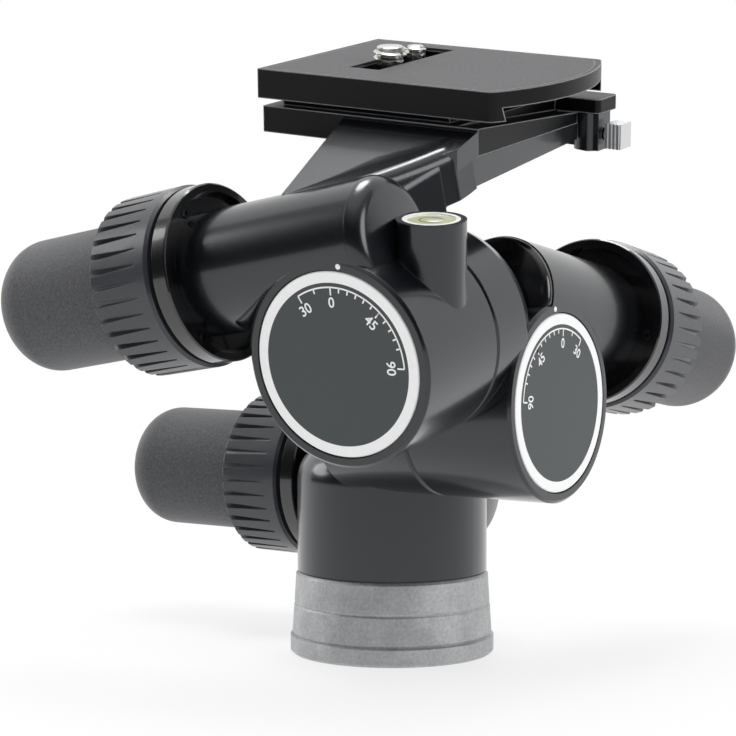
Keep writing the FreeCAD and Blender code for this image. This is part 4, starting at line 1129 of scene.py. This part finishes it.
class HEAD_OT_spirit_level(bpy.types.Operator):
    """Fill the spirit level and give it its circle and bubble"""
    bl_idname = "head.spirit_level"
    bl_label = "Spirit Level"

    def execute(self, context):
        dress({"liquid": ["spirit_level"], "white": ["spirit_level_ring"]})
        # The vial stands upright on the side head, square to the tilt axis.
        axis = joint_line("side_tilt")[1]
        up = -joint_line("plate_lever_turn")[1]
        low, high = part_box("spirit_level")
        middle = (low + high) / 2
        top = reach_along("spirit_level", middle, up)[1]
        across = axis.cross(up).normalized()
        place = axes_matrix(middle + up * top, across, up.cross(across), up)
        radius, line, thick = 2.9 * MM, 0.3 * MM, 0.03 * MM
        circle = [(radius, 0), (radius + line, 0), (radius + line, thick), (radius, thick), (radius, 0)]
        ring = turned_mesh("level_circle", circle, 48)
        mesh_object(ring.name, ring, place, "side_head", "ink")
        wide, tall = 2.3 * MM, 0.22 * MM
        outline = [(0, 0), (wide, 0)]
        outline += [(wide * math.cos(a), tall * math.sin(a)) for a in (0.25, 0.5, 0.8, 1.1, 1.35)]
        outline.append((0, tall))
        bubble = turned_mesh("level_bubble", outline, 32)
        smooth_mesh(bubble, 60)
        shift = Matrix.Translation((0.9 * MM, 0.3 * MM, 0))
        mesh_object(bubble.name, bubble, place @ shift, "side_head", "bubble")
        return {"FINISHED"}


class HEAD_OT_stage(bpy.types.Operator):
    """Set the floor, the lights and the camera"""
    bl_idname = "head.stage"
    bl_label = "Stage"

    # Name, place and width of each lamp in metres, the setting of its power, and the point that all aim at.
    lamps = (
        ("overhead_lamp", (-0.15, 0.25, 1.25), 0.6, "top_light"),
        ("left_lamp", (-1.3, -0.45, 0.65), 0.8, "side_light"),
        ("right_lamp", (1.35, 0.15, 0.6), 0.8, "side_light"),
    )
    aim = Vector((0, 0, 0.1))
    # Place of the camera in metres, and how far it looks down and turns from +Y, in degrees.
    camera_place, camera_down, camera_turn = (0.3915, -0.6046, 0.13065), 3.74, 33.49

    def execute(self, context):
        sizes = context.scene.head_stage
        self.lay_floor()
        self.hang_curtain()
        self.light_room(context, sizes)
        for name, place, width, power in self.lamps:
            self.hang_lamp(name, Vector(place), width, getattr(sizes, power))
        lens = bpy.data.cameras.new("camera")
        lens.lens = sizes.focal_length
        lens.sensor_width = 36
        lens.clip_start = 0.01
        camera = in_scene("camera", lens)
        camera.location = self.camera_place
        camera.rotation_euler = (math.radians(90 - self.camera_down), 0, math.radians(self.camera_turn))
        context.scene.camera = camera
        context.scene.view_settings.view_transform = "Standard"
        return {"FINISHED"}

    def lay_floor(self):
        """Round paper floor, pale and dull, that fades into the white background."""
        steps, radii = 96, (0.3, 0.6, 1.2, 2.5)
        work = bmesh.new()
        around = [2 * math.pi * k / steps for k in range(steps)]
        rings = [
            [work.verts.new((radius * math.cos(a), radius * math.sin(a), 0)) for a in around]
            for radius in radii
        ]
        centre = work.verts.new((0, 0, 0))
        for k in range(steps):
            work.faces.new((centre, rings[0][k], rings[0][(k + 1) % steps]))
            for inner, outer in zip(rings, rings[1:]):
                work.faces.new((inner[k], outer[k], outer[(k + 1) % steps], inner[(k + 1) % steps]))
        mesh = mesh_from(work, "paper_floor")
        material, tree, shader, place = start_material("coated_paper_floor", IOR=1.45, Roughness=0.5)
        link_surface(tree, shader, place, ("#f3f3f3", "#f6f6f6"), 4.0, 0.3, 0.01, 0.1)
        glow = add_node(tree, "ShaderNodeEmission", {"Color": (1, 1, 1, 1), "Strength": 1.0})
        away = add_node(tree, "ShaderNodeVectorMath", {0: place}, operation="LENGTH")
        fade = map_range(tree, away.outputs["Value"], (0.035, 0.16), (0.72, 1.0))
        blend_shaders(tree, fade, shader, glow, "Material Output")
        mesh.materials.append(material)
        in_scene("paper_floor", mesh)

    def hang_curtain(self):
        """Black curtain round the camera's side and the right, which only shiny pieces mirror: painted dark
        reflections, with a painted glow towards its top.
        """
        radius, first, last, steps = 1.5, -172, 40, 36
        heights = (0.0, 0.8, 1.6, 2.4)
        work = bmesh.new()
        rows = []
        for k in range(steps + 1):
            angle = math.radians(first + (last - first) * k / steps)
            x, y = radius * math.cos(angle), radius * math.sin(angle)
            rows.append([work.verts.new((x, y, z)) for z in heights])
        for row, after in zip(rows, rows[1:]):
            for k in range(len(heights) - 1):
                work.faces.new((row[k], row[k + 1], after[k + 1], after[k]))
        mesh = mesh_from(work, "black_curtain")
        material, tree, shader, place = start_material("black_velour_curtain")
        # The curtain glows more the higher it is, as painted light from above, so that its mirror image ends
        # softly.
        parts = add_node(tree, "ShaderNodeSeparateXYZ", {"Vector": place})
        fade = map_range(tree, parts.outputs["Z"], (0.9, 2.4), (0.04, 0.9))
        glow = add_node(tree, "ShaderNodeEmission", {"Color": (1, 1, 1, 1), "Strength": fade})
        tree.links.new(glow.outputs[0], tree.nodes["Material Output"].inputs["Surface"])
        tree.nodes.remove(shader)
        mesh.materials.append(material)
        curtain = in_scene("black_curtain", mesh)
        # Only mirror rays see the curtain, so the dark it puts into the shine of the castings is painted
        # reflection.
        curtain.visible_camera = False
        curtain.visible_diffuse = False
        curtain.visible_shadow = False

    def light_room(self, context, sizes):
        """Even room light, with a white background for what looks at it, mirrors it or sees through glass."""
        world = bpy.data.worlds.new("white_room")
        world.use_nodes = True
        tree = world.node_tree
        room = tree.nodes["Background"]
        room.inputs["Color"].default_value = (1, 1, 1, 1)
        room.inputs["Strength"].default_value = sizes.room_light
        paper = add_node(tree, "ShaderNodeBackground", {"Color": (1, 1, 1, 1), "Strength": 1.0})
        ray = add_node(tree, "ShaderNodeLightPath").outputs
        seen = maths(tree, "ADD", ray["Is Camera Ray"], ray["Is Glossy Ray"])
        shown = maths(tree, "ADD", seen, ray["Is Transmission Ray"], use_clamp=True)
        blend_shaders(tree, shown, room, paper, "World Output")
        context.scene.world = world

    def hang_lamp(self, name, place, width, power):
        lamp = bpy.data.lights.new(name, "AREA")
        lamp.shape = "DISK"
        lamp.size = width
        lamp.energy = power
        holder = in_scene(name, lamp)
        holder.location = place
        holder.rotation_euler = (self.aim - place).to_track_quat("-Z", "Y").to_euler()


class HEAD_PT_panel(bpy.types.Panel):
    """Sidebar panel of the geared head"""
    bl_idname = "HEAD_PT_panel"
    bl_label = "Geared Head"
    bl_space_type = "VIEW_3D"
    bl_region_type = "UI"
    bl_category = "Geared Head"

    def draw(self, context):
        scene = context.scene
        for group in (scene.head_finish, scene.head_marks, scene.head_blends, scene.head_stage):
            box = self.layout.box()
            for name in group.__annotations__:
                box.prop(group, name)
        for operator in OPERATORS:
            self.layout.operator(operator.bl_idname)


OPERATORS = (
    HEAD_OT_stage,
    HEAD_OT_castings,
    HEAD_OT_casting_blends,
    HEAD_OT_knobs,
    HEAD_OT_works,
    HEAD_OT_camera_plate,
    HEAD_OT_dials,
    HEAD_OT_flange_screws,
    HEAD_OT_camera_screws,
    HEAD_OT_spirit_level,
)
SETTINGS = (HeadFinishSettings, HeadMarkSettings, HeadBlendSettings, HeadStageSettings)
CLASSES = SETTINGS + OPERATORS + (HEAD_PT_panel,)


def register():
    for kind in CLASSES:
        bpy.utils.register_class(kind)
    bpy.types.Scene.head_finish = PointerProperty(type=HeadFinishSettings)
    bpy.types.Scene.head_marks = PointerProperty(type=HeadMarkSettings)
    bpy.types.Scene.head_blends = PointerProperty(type=HeadBlendSettings)
    bpy.types.Scene.head_stage = PointerProperty(type=HeadStageSettings)


def unregister():
    del bpy.types.Scene.head_stage
    del bpy.types.Scene.head_blends
    del bpy.types.Scene.head_marks
    del bpy.types.Scene.head_finish
    for kind in reversed(CLASSES):
        bpy.utils.unregister_class(kind)


def main():
    """Dress the whole head."""
    register()
    bpy.ops.head.stage()
    bpy.ops.head.castings()
    bpy.ops.head.casting_blends()
    bpy.ops.head.knobs()
    bpy.ops.head.works()
    bpy.ops.head.camera_plate()
    bpy.ops.head.dials()
    bpy.ops.head.flange_screws()
    bpy.ops.head.camera_screws()
    bpy.ops.head.spirit_level()


if __name__ == "__main__":
    main()
